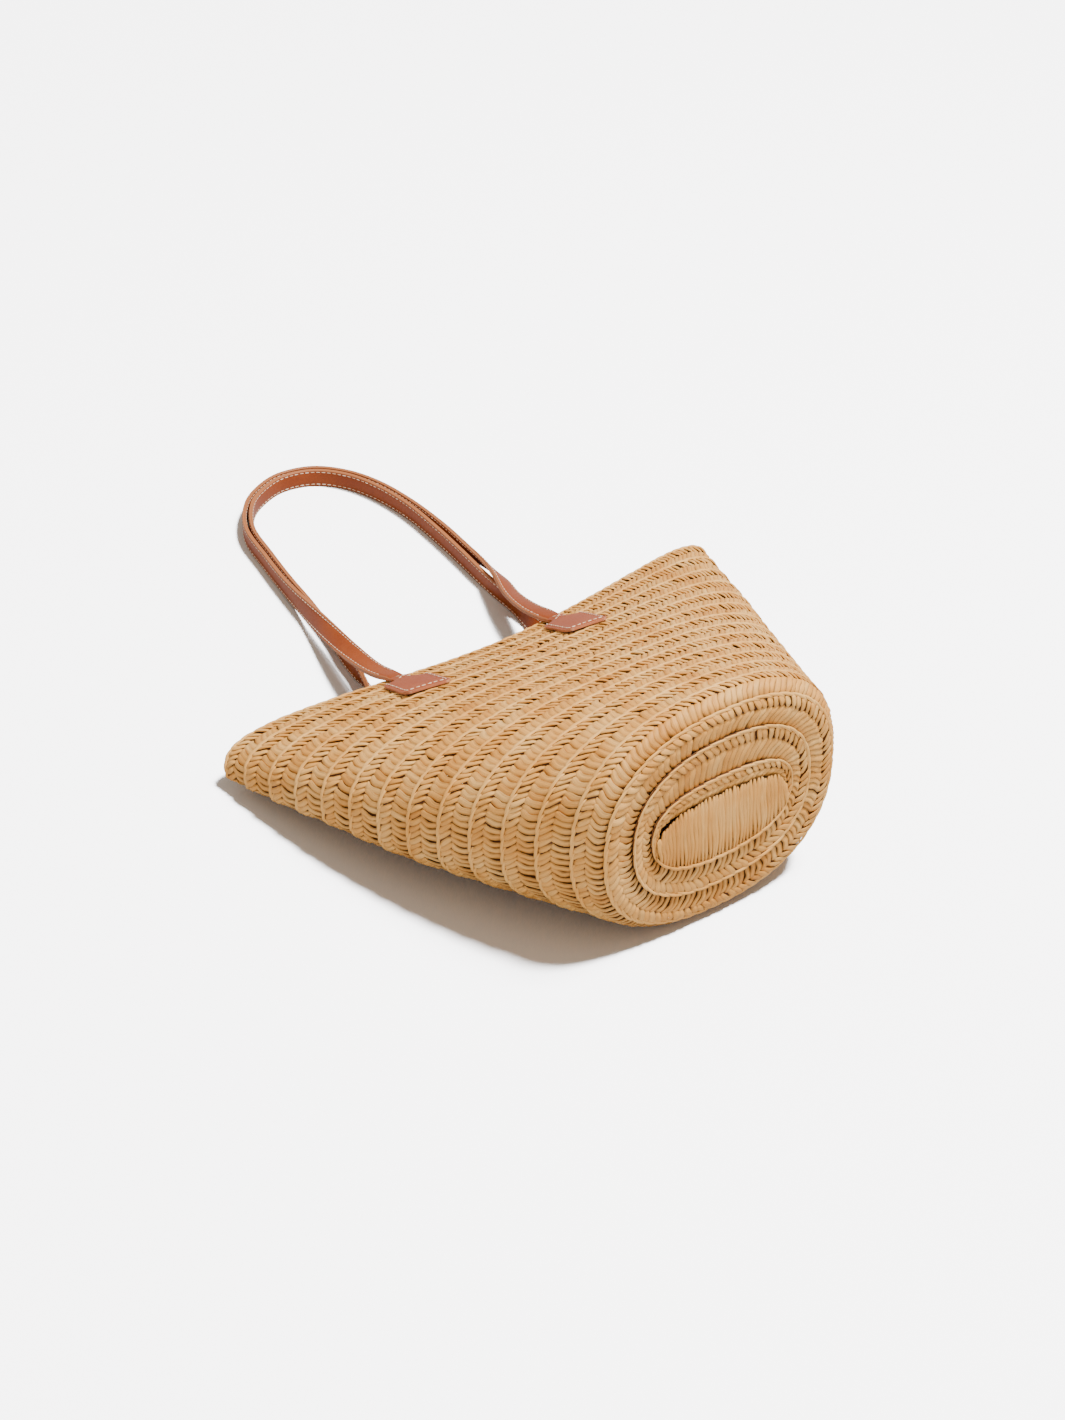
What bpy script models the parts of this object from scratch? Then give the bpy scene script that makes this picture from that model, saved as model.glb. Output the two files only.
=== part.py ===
"""Straw beach bag lying on its back panel, with two long leather handles laid out past its mouth.

The shell is flat straw plait, sewn edge over edge in a spiral. Its surface is one formula,
shell_point(row, angle): row counts plait widths outward from the long axis of the oval base, and
angle goes round the bag. Each plait row, leather tab and backing patch is a grid laid on it.
World axes: X across the bag, Y from the base to the mouth, Z up; the floor is Z = 0.
"""
import math

import bmesh
import bpy
from mathutils import Vector

# Plait, metres
PITCH = 0.022                 # visible width of one row
PLAIT_THICKNESS = 0.0022
LAP = 0.18                    # how far a row reaches over the next one, in rows
TUCK = 0.0033                 # how deep a row's base-side edge sits below the outer surface
ROWS_TO_RIM = 16.5            # from the base's long axis to the mouth's rim
BASE_RINGS = 2
WALL_ROWS = 13
STRIP_EDGE_ROW = 0.5          # the centre strip is one row wide

# Base, standing upright at Y = 0
BASE_HALF_WIDTH = 0.0874
BASE_HALF_LENGTH = 0.1071
STRIP_HALF_LENGTH = 0.0512
BASE_END_POWER = 2.1          # rows crowd together at the strip's two ends
EDGE_RADIUS = 0.0164          # bend from the base into the wall
BASE_SQUARENESS = 2.36        # superellipse exponent

# Mouth, pressed almost flat
MOUTH_HALF_LENGTH = 0.236
MOUTH_RISE = 0.0311           # front panel above the widest line
MOUTH_DROP = 0.0052           # back panel below it
MOUTH_SHIFT = 0.0471          # the mouth lies over to +X of the base
MOUTH_SKEW = 0.0725           # the mouth's line turns this much per metre across
CORNER_REACH = 1.014          # the rim dips in the middle: reach of the corners, per metre
FRONT_REACH = 0.0342          # the front panel reaches past the back panel
FRONT_SQUARENESS = 2.84
BACK_SQUARENESS = 2.71
THICKNESS_SKEW = 0.37         # the left half of the mouth stands higher than the right
ROW_RATE = 1.01

# Bow of the panels half way up
SIDE_BOW = 0.0080
FRONT_BOW = 0.0086
BACK_BOW = -0.0028

# The back panel clears the floor near the mouth, where its tabs are
BACK_LIFT = 0.0054
LIFT_START = 0.45
LIFT_END = 0.70

# Leather
STRAP_WIDTH = 0.015
PLY_THICKNESS = 0.0015
GAP = 0.0003
HANDLE_CENTRE_X = 0.023
HANDLE_HALF_SPACING = 0.073
NECK_ROW = 16.0               # where a strap turns on its tab
TAB_CLEARANCE = 0.0024        # from the turning axis to the tab
STRAP_CLEARANCE = 0.0060      # from the turning axis to the strap, so that it folds back freely
TAB_WIDTH = 0.034
TAB_ROWS = 2.35
TAB_LEAN = 0.26               # radians that a tab leans to -X, in line with its strap
TAB_CORNER = 0.12             # part of the tab's length that rounds off at its far end
NECK_PART = 0.27              # part of the tab's length that is its neck
NECK_HOLD = 0.55              # part of the neck that stays narrow
TAB_THICKNESS = 0.0018
PATCH_SCALE = 0.86
PATCH_THICKNESS = 0.0012
THREAD_RADIUS = 0.00035
TAB_STITCH_INSET = 0.0024
STRAP_STITCH_INSET = 0.0013
THREAD_CLEARANCE = 0.0006      # the thread stands this far off the leather
FRONT_TWIST = (0.012, 0.21)    # from the neck, where the strap starts to turn and over what length
BACK_TWIST = (0.034, 0.08)

# Routes of the straps between their necks, X, Y and Z of the centre line
FRONT_ROUTE = (
    (-0.048, 0.342, 0.0375), (-0.041, 0.384, 0.0280), (-0.032, 0.428, 0.0200),
    (-0.023, 0.472, 0.0135), (-0.0145, 0.516, 0.0092), (-0.0055, 0.560, 0.0079),
    (0.0050, 0.6055, 0.0079), (0.0265, 0.6395, 0.0079), (0.0525, 0.6580, 0.0079),
    (0.0770, 0.6642, 0.0079), (0.1035, 0.6565, 0.0079), (0.1230, 0.6335, 0.0079),
    (0.1340, 0.6010, 0.0079), (0.1378, 0.5600, 0.0079), (0.1362, 0.5150, 0.0086),
    (0.1332, 0.4780, 0.0096), (0.1295, 0.4460, 0.0124), (0.1195, 0.4140, 0.0197),
    (0.1080, 0.3830, 0.0245), (0.0990, 0.3480, 0.0330),
)
BACK_ROUTE = (
    (-0.0475, 0.303), (-0.0440, 0.336), (-0.0385, 0.370), (-0.0320, 0.405), (-0.0225, 0.442),
    (-0.0145, 0.480),
    (-0.008, 0.520), (0.0000, 0.560), (0.0100, 0.603), (0.0300, 0.636), (0.0540, 0.653),
    (0.0770, 0.659), (0.1010, 0.652), (0.1190, 0.631), (0.1290, 0.600), (0.1325, 0.560),
    (0.1295, 0.515), (0.1248, 0.475), (0.1188, 0.430), (0.1150, 0.385), (0.1085, 0.340),
    (0.1015, 0.306),
)

# From the base's own axes to the middle of the whole object's underside
FRAME_SHIFT = (-0.0471, -0.3336, 0.0)

# Mesh resolution
SEGMENTS = 48
TAB_COLUMNS = 6
TAB_LINES = 10
ROUTE_STEPS = 3
EDGE_LINES = 6                # across the two rows that bend round the base's edge

STRAW = ("straw", (0.72, 0.52, 0.31), 0.75)
STRAP_LEATHER = ("strap_leather", (0.45, 0.13, 0.05), 0.5)
TAB_LEATHER = ("tab_leather", (0.50, 0.20, 0.10), 0.55)
THREAD = ("thread", (0.80, 0.66, 0.48), 0.7)


# ---------------------------------------------------------------- shell surface

def blend(start, end, fraction):
    return start + (end - start) * fraction


def smooth(fraction):
    fraction = min(max(fraction, 0.0), 1.0)
    return fraction * fraction * (3.0 - 2.0 * fraction)


def signed_power(value, power):
    return math.copysign(abs(value) ** power, value)


def base_half_length(width):
    """Half length of the base's outline whose half width is width."""
    share = (width / BASE_HALF_WIDTH) ** BASE_END_POWER
    return blend(STRIP_HALF_LENGTH, BASE_HALF_LENGTH, share)


def base_point(distance, angle):
    """Point at a distance from the long axis, on the flat base or on its rounded edge."""
    flat = BASE_HALF_WIDTH - EDGE_RADIUS
    width, depth = distance, 0.0
    if distance > flat:
        turn = (distance - flat) / EDGE_RADIUS
        width = flat + EDGE_RADIUS * math.sin(turn)
        depth = EDGE_RADIUS * (1.0 - math.cos(turn))
    power = 2.0 / BASE_SQUARENESS
    x = base_half_length(width) * signed_power(math.cos(angle), power)
    z = width * signed_power(math.sin(angle), power)
    return Vector((x, depth, BASE_HALF_WIDTH + z))


def wall_point(share, length, angle):
    """Point on the wall, share of the way from the base's edge to the rim."""
    bow = 4.0 * share * (1.0 - share)
    half_length = blend(BASE_HALF_LENGTH, MOUTH_HALF_LENGTH, share) + SIDE_BOW * bow
    rise = blend(BASE_HALF_WIDTH, MOUTH_RISE, share) + FRONT_BOW * bow
    middle = blend(BASE_HALF_WIDTH, MOUTH_DROP, share) + BACK_BOW * bow
    front = math.sin(angle) >= 0.0
    squareness = blend(BASE_SQUARENESS, FRONT_SQUARENESS if front else BACK_SQUARENESS, share)
    x = half_length * signed_power(math.cos(angle), 2.0 / squareness)
    reach = rise * (1.0 - THICKNESS_SKEW * share ** 2 * x / half_length) if front else middle
    z = middle + reach * signed_power(math.sin(angle), 2.0 / squareness)
    lift = BACK_LIFT * smooth((share - LIFT_START) / (LIFT_END - LIFT_START))
    z += lift * max(0.0, 1.0 - z / (middle + rise))
    y = EDGE_RADIUS + ROW_RATE * share * length
    y += share * (MOUTH_SKEW * x + CORNER_REACH * x * x + FRONT_REACH * max(math.sin(angle), 0.0))
    return Vector((x + MOUTH_SHIFT * share ** 1.5, y, z))


def shell_point(row, angle):
    """Point on the bag's outer surface."""
    base_reach = BASE_HALF_WIDTH - EDGE_RADIUS + EDGE_RADIUS * math.pi / 2.0
    wall_length = ROWS_TO_RIM * PITCH - base_reach
    distance = row * PITCH
    if distance <= base_reach:
        return base_point(distance, angle)
    return wall_point((distance - base_reach) / wall_length, wall_length, angle)


def shell_normal(row, angle):
    """Outward normal of the bag's surface."""
    step_row, step_angle = 0.1, 0.04
    along = shell_point(row + step_row, angle) - shell_point(row - step_row, angle)
    around = shell_point(row, angle + step_angle) - shell_point(row, angle - step_angle)
    return along.cross(around).normalized()


def on_shell(row, angle, height):
    return shell_point(row, angle) + shell_normal(row, angle) * height


def angle_at(row, x, front):
    """Angle at which a row of the front or back panel passes a place across the bag."""
    low, high = (0.0, math.pi) if front else (math.pi, 2.0 * math.pi)
    for _ in range(40):
        middle = (low + high) / 2.0
        beyond = shell_point(row, middle).x > x
        if beyond == front:
            low = middle
        else:
            high = middle
    return (low + high) / 2.0


# ---------------------------------------------------------------- building tools

def clear_scene():
    for item in list(bpy.data.objects):
        bpy.data.objects.remove(item, do_unlink=True)


def make_material(finish):
    name, colour, roughness = finish
    material = bpy.data.materials.get(name) or bpy.data.materials.new(name)
    material.use_nodes = True
    shader = material.node_tree.nodes["Principled BSDF"]
    shader.inputs["Base Color"].default_value = (*colour, 1.0)
    shader.inputs["Roughness"].default_value = roughness
    shader.inputs["Metallic"].default_value = 0.0
    return material


def add_part(name, data, finish, parent=None):
    item = bpy.data.objects.new(name, data)
    bpy.data.collections["beach_bag"].objects.link(item)
    data.materials.append(make_material(finish))
    if parent:
        item.parent = parent
        item.matrix_parent_inverse = parent.matrix_world.inverted()
    return item


def sheet_part(name, columns, lines, place, thickness, finish, parent=None, closed=False,
               diagonal=None):
    """Solid sheet: a grid whose points go where place(u, v) says, thickened behind its normals.

    u and v run from 0 to 1. Twisted sheets that face each other name the diagonal that splits
    their quads, so that both split the same way and the gap between them stays even.
    """
    grid = bmesh.new()
    bmesh.ops.create_grid(grid, x_segments=columns, y_segments=lines, size=0.5)
    for vertex in grid.verts:
        vertex.co = place(vertex.co.x + 0.5, vertex.co.y + 0.5)
    if closed:
        bmesh.ops.remove_doubles(grid, verts=grid.verts, dist=0.000001)
    if diagonal:
        bmesh.ops.triangulate(grid, faces=grid.faces, quad_method=diagonal)
    mesh = bpy.data.meshes.new(name)
    grid.to_mesh(mesh)
    grid.free()
    item = add_part(name, mesh, finish, parent)
    solidify = item.modifiers.new("thickness", "SOLIDIFY")
    solidify.thickness = thickness
    solidify.offset = -1.0
    return item


def thread_part(name, points, finish, parent=None):
    """Closed loop of sewing thread."""
    curve = bpy.data.curves.new(name, "CURVE")
    curve.dimensions = "3D"
    curve.bevel_depth = THREAD_RADIUS
    curve.bevel_resolution = 0
    spline = curve.splines.new("POLY")
    spline.points.add(len(points) - 1)
    for slot, point in zip(spline.points, points):
        slot.co = (*point, 1.0)
    spline.use_cyclic_u = True
    return add_part(name, curve, finish, parent)


# ---------------------------------------------------------------- straw shell

def make_centre_strip():
    """Flat oval start of the spiral; its outer face is the face that the bag stands on."""
    curve = bpy.data.curves.new("base_center_strip", "CURVE")
    curve.dimensions = "2D"
    curve.fill_mode = "BOTH"
    curve.extrude = PLAIT_THICKNESS / 2.0
    spline = curve.splines.new("POLY")
    spline.points.add(SEGMENTS - 1)
    for index, slot in enumerate(spline.points):
        angle = 2.0 * math.pi * index / SEGMENTS
        edge = shell_point(STRIP_EDGE_ROW + LAP, angle)
        slot.co = (edge.x, edge.z - BASE_HALF_WIDTH, 0.0, 1.0)
    spline.use_cyclic_u = True
    strip = add_part("base_center_strip", curve, STRAW)
    strip.rotation_euler.x = math.pi / 2.0
    strip.location = (0.0, PLAIT_THICKNESS / 2.0, BASE_HALF_WIDTH)


def make_plait_row(name, first, last, lines):
    """One turn of the spiral, lying on the next turn at its mouth side and under the one before."""
    def place(u, v):
        row = blend(first, last, v)
        return on_shell(row, 2.0 * math.pi * (1.0 - u), -TUCK * (1.0 - v))
    sheet_part(name, SEGMENTS, lines, place, PLAIT_THICKNESS, STRAW, closed=True)


def make_shell():
    make_centre_strip()
    first = STRIP_EDGE_ROW
    names = [f"base_ring_{number + 1}" for number in range(BASE_RINGS)]
    names.append("base_edge_row")
    names += [f"wall_row_{number + 1:02d}" for number in range(WALL_ROWS)]
    for name in names:
        last = min(first + 1.0 + LAP, ROWS_TO_RIM)
        curved = name in ("base_edge_row", "wall_row_01")
        make_plait_row(name, first, last, EDGE_LINES if curved else 1)
        first += 1.0


# ---------------------------------------------------------------- tabs

def tab_half_width(share):
    """Half width of a tab, from its neck at share 0 to its rounded far end at share 1."""
    neck = STRAP_WIDTH / 2.0
    full = TAB_WIDTH / 2.0
    if share < NECK_PART:
        return blend(neck, full, smooth((share / NECK_PART - NECK_HOLD) / (1.0 - NECK_HOLD)))
    corner = min(max(0.0, (share - (1.0 - TAB_CORNER)) / TAB_CORNER), 1.0)
    return full * (0.75 + 0.25 * math.sqrt(1.0 - corner * corner))


def tab_point(centre_x, front, share, across, height, scale=1.0):
    """Point over a tab: share along it, across from -1 to 1, at a height over the shell."""
    along = (0.5 + (share - 0.5) * scale) * TAB_ROWS * PITCH
    out = across * tab_half_width(share) * scale
    back = TAB_CLEARANCE + along * math.cos(TAB_LEAN) + out * math.sin(TAB_LEAN)
    row = NECK_ROW - back / PITCH
    x = centre_x + out * math.cos(TAB_LEAN) - along * math.sin(TAB_LEAN)
    return on_shell(row, angle_at(row, x, front), height)


def make_tab_set(side, end, centre_x):
    """Leather tab outside the shell, its backing patch inside, and the thread round its edge."""
    front = side == "front"
    turn = -1.0 if front else 1.0
    top = GAP + TAB_THICKNESS
    inside = -(TUCK + PLAIT_THICKNESS + GAP)

    def tab_place(u, v):
        return tab_point(centre_x, front, v, turn * (2.0 * u - 1.0), top)

    def patch_place(u, v):
        return tab_point(centre_x, front, v, turn * (2.0 * u - 1.0), inside, PATCH_SCALE)

    sheet_part(f"{side}_{end}_tab", TAB_COLUMNS, TAB_LINES, tab_place, TAB_THICKNESS, TAB_LEATHER)
    sheet_part(f"{side}_{end}_backing", TAB_COLUMNS, TAB_LINES, patch_place, PATCH_THICKNESS,
               TAB_LEATHER)
    thread_height = top + THREAD_CLEARANCE + THREAD_RADIUS
    inset = 1.0 - TAB_STITCH_INSET / (TAB_WIDTH / 2.0)
    shares = [blend(NECK_PART, 0.94, step / TAB_LINES) for step in range(TAB_LINES + 1)]
    loop = [tab_point(centre_x, front, share, inset, thread_height) for share in shares]
    loop += [tab_point(centre_x, front, share, -inset, thread_height) for share in reversed(shares)]
    thread_part(f"{side}_{end}_tab_stitching", loop, THREAD)


# ---------------------------------------------------------------- handles

def neck_point(side, centre_x):
    """Point on a handle's turning axis, in the strap's mid thickness over the rim row."""
    front = side == "front"
    angle = angle_at(NECK_ROW, centre_x, front)
    return on_shell(NECK_ROW, angle, GAP + PLY_THICKNESS + GAP / 2.0)


def curve_through(knots, steps):
    """Smooth curve through knots, after Catmull and Rom."""
    points = []
    padded = [knots[0] * 2.0 - knots[1], *knots, knots[-1] * 2.0 - knots[-2]]
    for before, start, end, after in zip(padded, padded[1:], padded[2:], padded[3:]):
        for step in range(steps):
            t = step / steps
            points.append(0.5 * (2.0 * start + (end - before) * t
                                 + (2.0 * before - 5.0 * start + 4.0 * end - after) * t ** 2
                                 + (3.0 * start - 3.0 * end + after - before) * t ** 3))
    points.append(knots[-1])
    return points


def twist_at(side, y):
    """How far the strap has turned from flat on the bag to standing on its edge, in radians."""
    start, length = FRONT_TWIST if side == "front" else BACK_TWIST
    neck_y = neck_point(side, HANDLE_CENTRE_X).y
    return math.pi / 2.0 * smooth((y - neck_y - start) / length)


def floor_height(twist):
    """Height of the centre line of a back strap that lies on the floor, thread side down."""
    thread = THREAD_CLEARANCE + 2.0 * THREAD_RADIUS
    flat_height = GAP / 2.0 + PLY_THICKNESS + thread
    return GAP + 0.5 * STRAP_WIDTH * math.sin(twist) + flat_height * math.cos(twist)


def strap_knots(side):
    left = neck_point(side, HANDLE_CENTRE_X - HANDLE_HALF_SPACING)
    right = neck_point(side, HANDLE_CENTRE_X + HANDLE_HALF_SPACING)
    if side == "front":
        inner = [Vector(knot) for knot in FRONT_ROUTE]
    else:
        inner = [Vector((x, y, floor_height(twist_at(side, y)))) for x, y in BACK_ROUTE]
    return [left, *inner, right]


def strap_frames(side):
    """Centre line points with the strap's width direction and outward direction."""
    points = curve_through(strap_knots(side), ROUTE_STEPS)
    up = Vector((0.0, 0.0, 1.0 if side == "front" else -1.0))
    frames = []
    for index, point in enumerate(points):
        before = points[max(index - 1, 0)]
        after = points[min(index + 1, len(points) - 1)]
        along = (after - before).normalized()
        twist = twist_at(side, point.y)
        outward = Vector((0.0, 0.0, 1.0)).cross(along).normalized()
        face = up * math.cos(twist) + outward * math.sin(twist)
        face = (face - along * face.dot(along)).normalized()
        frames.append((point, face.cross(along), face))
    first, last = frames[0], frames[-1]
    start_step = (frames[1][0] - first[0]).normalized() * STRAP_CLEARANCE
    end_step = (frames[-2][0] - last[0]).normalized() * STRAP_CLEARANCE
    frames[0] = (first[0] + start_step, first[1], first[2])
    frames[-1] = (last[0] + end_step, last[1], last[2])
    return frames


def make_handle(side):
    """Two leather plies and the thread that sews them, on an empty on the handle's turning axis."""
    pivot = bpy.data.objects.new(f"{side}_handle_pivot", None)
    bpy.data.collections["beach_bag"].objects.link(pivot)
    pivot.location = neck_point(side, HANDLE_CENTRE_X - HANDLE_HALF_SPACING)
    bpy.context.view_layer.update()
    frames = strap_frames(side)
    count = len(frames) - 1

    def ribbon(height, turn):
        def place(u, v):
            point, width, face = frames[round(v * count)]
            return point + width * (turn * (u - 0.5) * STRAP_WIDTH) + face * height
        return place

    sheet_part(f"{side}_handle_outer_ply", 1, count, ribbon(GAP / 2.0, 1.0), PLY_THICKNESS,
               STRAP_LEATHER, pivot, diagonal="FIXED")
    sheet_part(f"{side}_handle_inner_ply", 1, count, ribbon(-GAP / 2.0, -1.0), PLY_THICKNESS,
               STRAP_LEATHER, pivot, diagonal="ALTERNATE")
    thread_height = GAP / 2.0 + PLY_THICKNESS + THREAD_CLEARANCE + THREAD_RADIUS
    reach = STRAP_WIDTH / 2.0 - STRAP_STITCH_INSET
    sewn = frames[1:-1]
    loop = [point + width * reach + face * thread_height for point, width, face in sewn]
    loop += [point - width * reach + face * thread_height for point, width, face in reversed(sewn)]
    thread_part(f"{side}_handle_stitching", loop, THREAD, pivot)


def main():
    clear_scene()
    collection = bpy.data.collections.get("beach_bag") or bpy.data.collections.new("beach_bag")
    if collection.name not in bpy.context.scene.collection.children:
        bpy.context.scene.collection.children.link(collection)
    make_shell()
    for side in ("front", "back"):
        make_tab_set(side, "left", HANDLE_CENTRE_X - HANDLE_HALF_SPACING)
        make_tab_set(side, "right", HANDLE_CENTRE_X + HANDLE_HALF_SPACING)
        make_handle(side)
    for item in collection.objects:
        if item.parent is None:
            item.location += Vector(FRAME_SHIFT)


if __name__ == "__main__":
    main()
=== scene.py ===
"""Straw beach bag lying on its back panel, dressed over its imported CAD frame.

The bag is flat straw plait, sewn edge over edge from the middle of its oval base to its rim, with
two long stitched leather straps on four leather tabs. Every row of plait, every tab and every
stitch is laid on one formula for the bag's outer surface, the same one that the CAD rows follow.
World axes: X across the bag, Y from the base to the mouth, Z up; the floor is Z = 0; metres.
"""
from __future__ import annotations

import logging
import math
from collections.abc import Callable
from dataclasses import dataclass, field
from enum import Enum

import bpy
import numpy as np
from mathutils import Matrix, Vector


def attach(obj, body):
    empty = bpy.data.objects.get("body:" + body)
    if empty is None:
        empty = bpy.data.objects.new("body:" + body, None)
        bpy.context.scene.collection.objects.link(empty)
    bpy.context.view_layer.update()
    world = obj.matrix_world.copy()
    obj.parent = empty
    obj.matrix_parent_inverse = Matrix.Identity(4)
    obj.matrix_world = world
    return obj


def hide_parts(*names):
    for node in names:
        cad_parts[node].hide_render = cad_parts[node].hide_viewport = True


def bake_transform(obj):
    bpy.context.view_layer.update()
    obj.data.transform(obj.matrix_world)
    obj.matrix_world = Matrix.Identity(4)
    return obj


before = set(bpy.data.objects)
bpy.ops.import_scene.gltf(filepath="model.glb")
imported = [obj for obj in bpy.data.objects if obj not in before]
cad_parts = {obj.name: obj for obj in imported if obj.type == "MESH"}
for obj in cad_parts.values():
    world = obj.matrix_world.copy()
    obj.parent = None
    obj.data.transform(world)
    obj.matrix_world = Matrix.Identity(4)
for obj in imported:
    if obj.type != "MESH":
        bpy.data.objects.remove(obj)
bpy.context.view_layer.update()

LOG = logging.getLogger("beach_bag")
MM = 0.001

Sockets = dict[str | int, bpy.types.NodeSocket]
Settings = dict[str | int, object]
Faces = list[tuple[int, ...]]
RowPart = tuple[np.ndarray, Faces, np.ndarray, np.ndarray, list[int]]
Placer = Callable[[np.ndarray, np.ndarray, np.ndarray], np.ndarray]
EdgeLine = Callable[[np.ndarray, float], np.ndarray]


class Side(Enum):
    """Which panel a tab or a strap belongs to."""

    FRONT = "front"
    BACK = "back"


class End(Enum):
    """Which end of a strap a tab holds: LEFT is towards -X."""

    LEFT = -1
    RIGHT = 1


# ---------------------------------------------------------------- small helpers

def colour(code: str) -> tuple[float, float, float, float]:
    """Turn an sRGB hex colour into a linear one.

    Args:
        code: The colour as #rrggbb.

    Returns:
        Linear red, green, blue and alpha 1.
    """
    parts = [int(code[place:place + 2], 16) / 255.0 for place in (1, 3, 5)]
    linear = [part / 12.92 if part <= 0.04045 else ((part + 0.055) / 1.055) ** 2.4
              for part in parts]
    return (*linear, 1.0)


def add_node(tree: bpy.types.NodeTree, kind: str, settings: Settings | None = None,
             links: Sockets | None = None) -> bpy.types.Node:
    """Add one node to a material.

    Args:
        tree: The material's node tree.
        kind: The node's type name.
        settings: Values by property name, by input name or by input number.
        links: Output sockets to plug in, by input name or number.

    Returns:
        The new node.
    """
    node = tree.nodes.new(kind)
    for key, value in (settings or {}).items():
        if isinstance(key, str) and hasattr(node, key):
            setattr(node, key, value)
        else:
            node.inputs[key].default_value = value
    for key, socket in (links or {}).items():
        tree.links.new(socket, node.inputs[key])
    return node


def smooth(value: np.ndarray | float) -> np.ndarray | float:
    """Ease from 0 to 1 as value goes from 0 to 1."""
    value = np.clip(value, 0.0, 1.0)
    return value * value * (3.0 - 2.0 * value)


def through(controls: list[float], share: np.ndarray) -> np.ndarray:
    """Read a smooth curve through evenly spaced control values.

    Args:
        controls: The values that the curve goes through.
        share: Places along the curve, from 0 to 1.

    Returns:
        The curve's value at each place.
    """
    knots = np.array([2 * controls[0] - controls[1], *controls, 2 * controls[-1] - controls[-2]])
    place = np.clip(share, 0.0, 1.0) * (len(controls) - 1)
    index = np.minimum(place.astype(int), len(controls) - 2)
    t = place - index
    before, start, end, after = (knots[index + step] for step in range(4))
    return 0.5 * (2 * start + (end - before) * t
                  + (2 * before - 5 * start + 4 * end - after) * t ** 2
                  + (3 * start - 3 * end + after - before) * t ** 3)


def deselect_all() -> None:
    """Leave nothing selected, so that an operator acts only on what comes next."""
    if bpy.context.mode != "OBJECT":
        bpy.ops.object.mode_set(mode="OBJECT")
    bpy.ops.object.select_all(action="DESELECT")


def add_piece(name: str, vertices: np.ndarray, faces: Faces,
              materials: list[bpy.types.Material], slots: np.ndarray | None = None,
              attributes: dict[str, np.ndarray] | None = None) -> bpy.types.Object:
    """Make a smooth shaded piece from vertices and faces.

    Args:
        name: The piece's name.
        vertices: World places, one line each.
        faces: Vertex numbers of each face.
        materials: The piece's materials.
        slots: Material number of each face, if there is more than one.
        attributes: Values for its material to read, one per vertex: numbers or vectors.

    Returns:
        The new object, at the origin.
    """
    mesh = bpy.data.meshes.new(name)
    mesh.from_pydata(vertices.tolist(), [], faces)
    for material in materials:
        mesh.materials.append(material)
    if slots is not None:
        mesh.polygons.foreach_set("material_index", slots.astype(np.int32))
    for key, values in (attributes or {}).items():
        flat = values.ndim == 1
        store = mesh.attributes.new(key, "FLOAT" if flat else "FLOAT_VECTOR", "POINT")
        store.data.foreach_set("value" if flat else "vector", values.astype(np.float32).ravel())
    mesh.shade_smooth()
    mesh.update()
    piece = bpy.data.objects.new(name, mesh)
    bpy.context.scene.collection.objects.link(piece)
    return piece


# ---------------------------------------------------------------- the bag's surface

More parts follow.
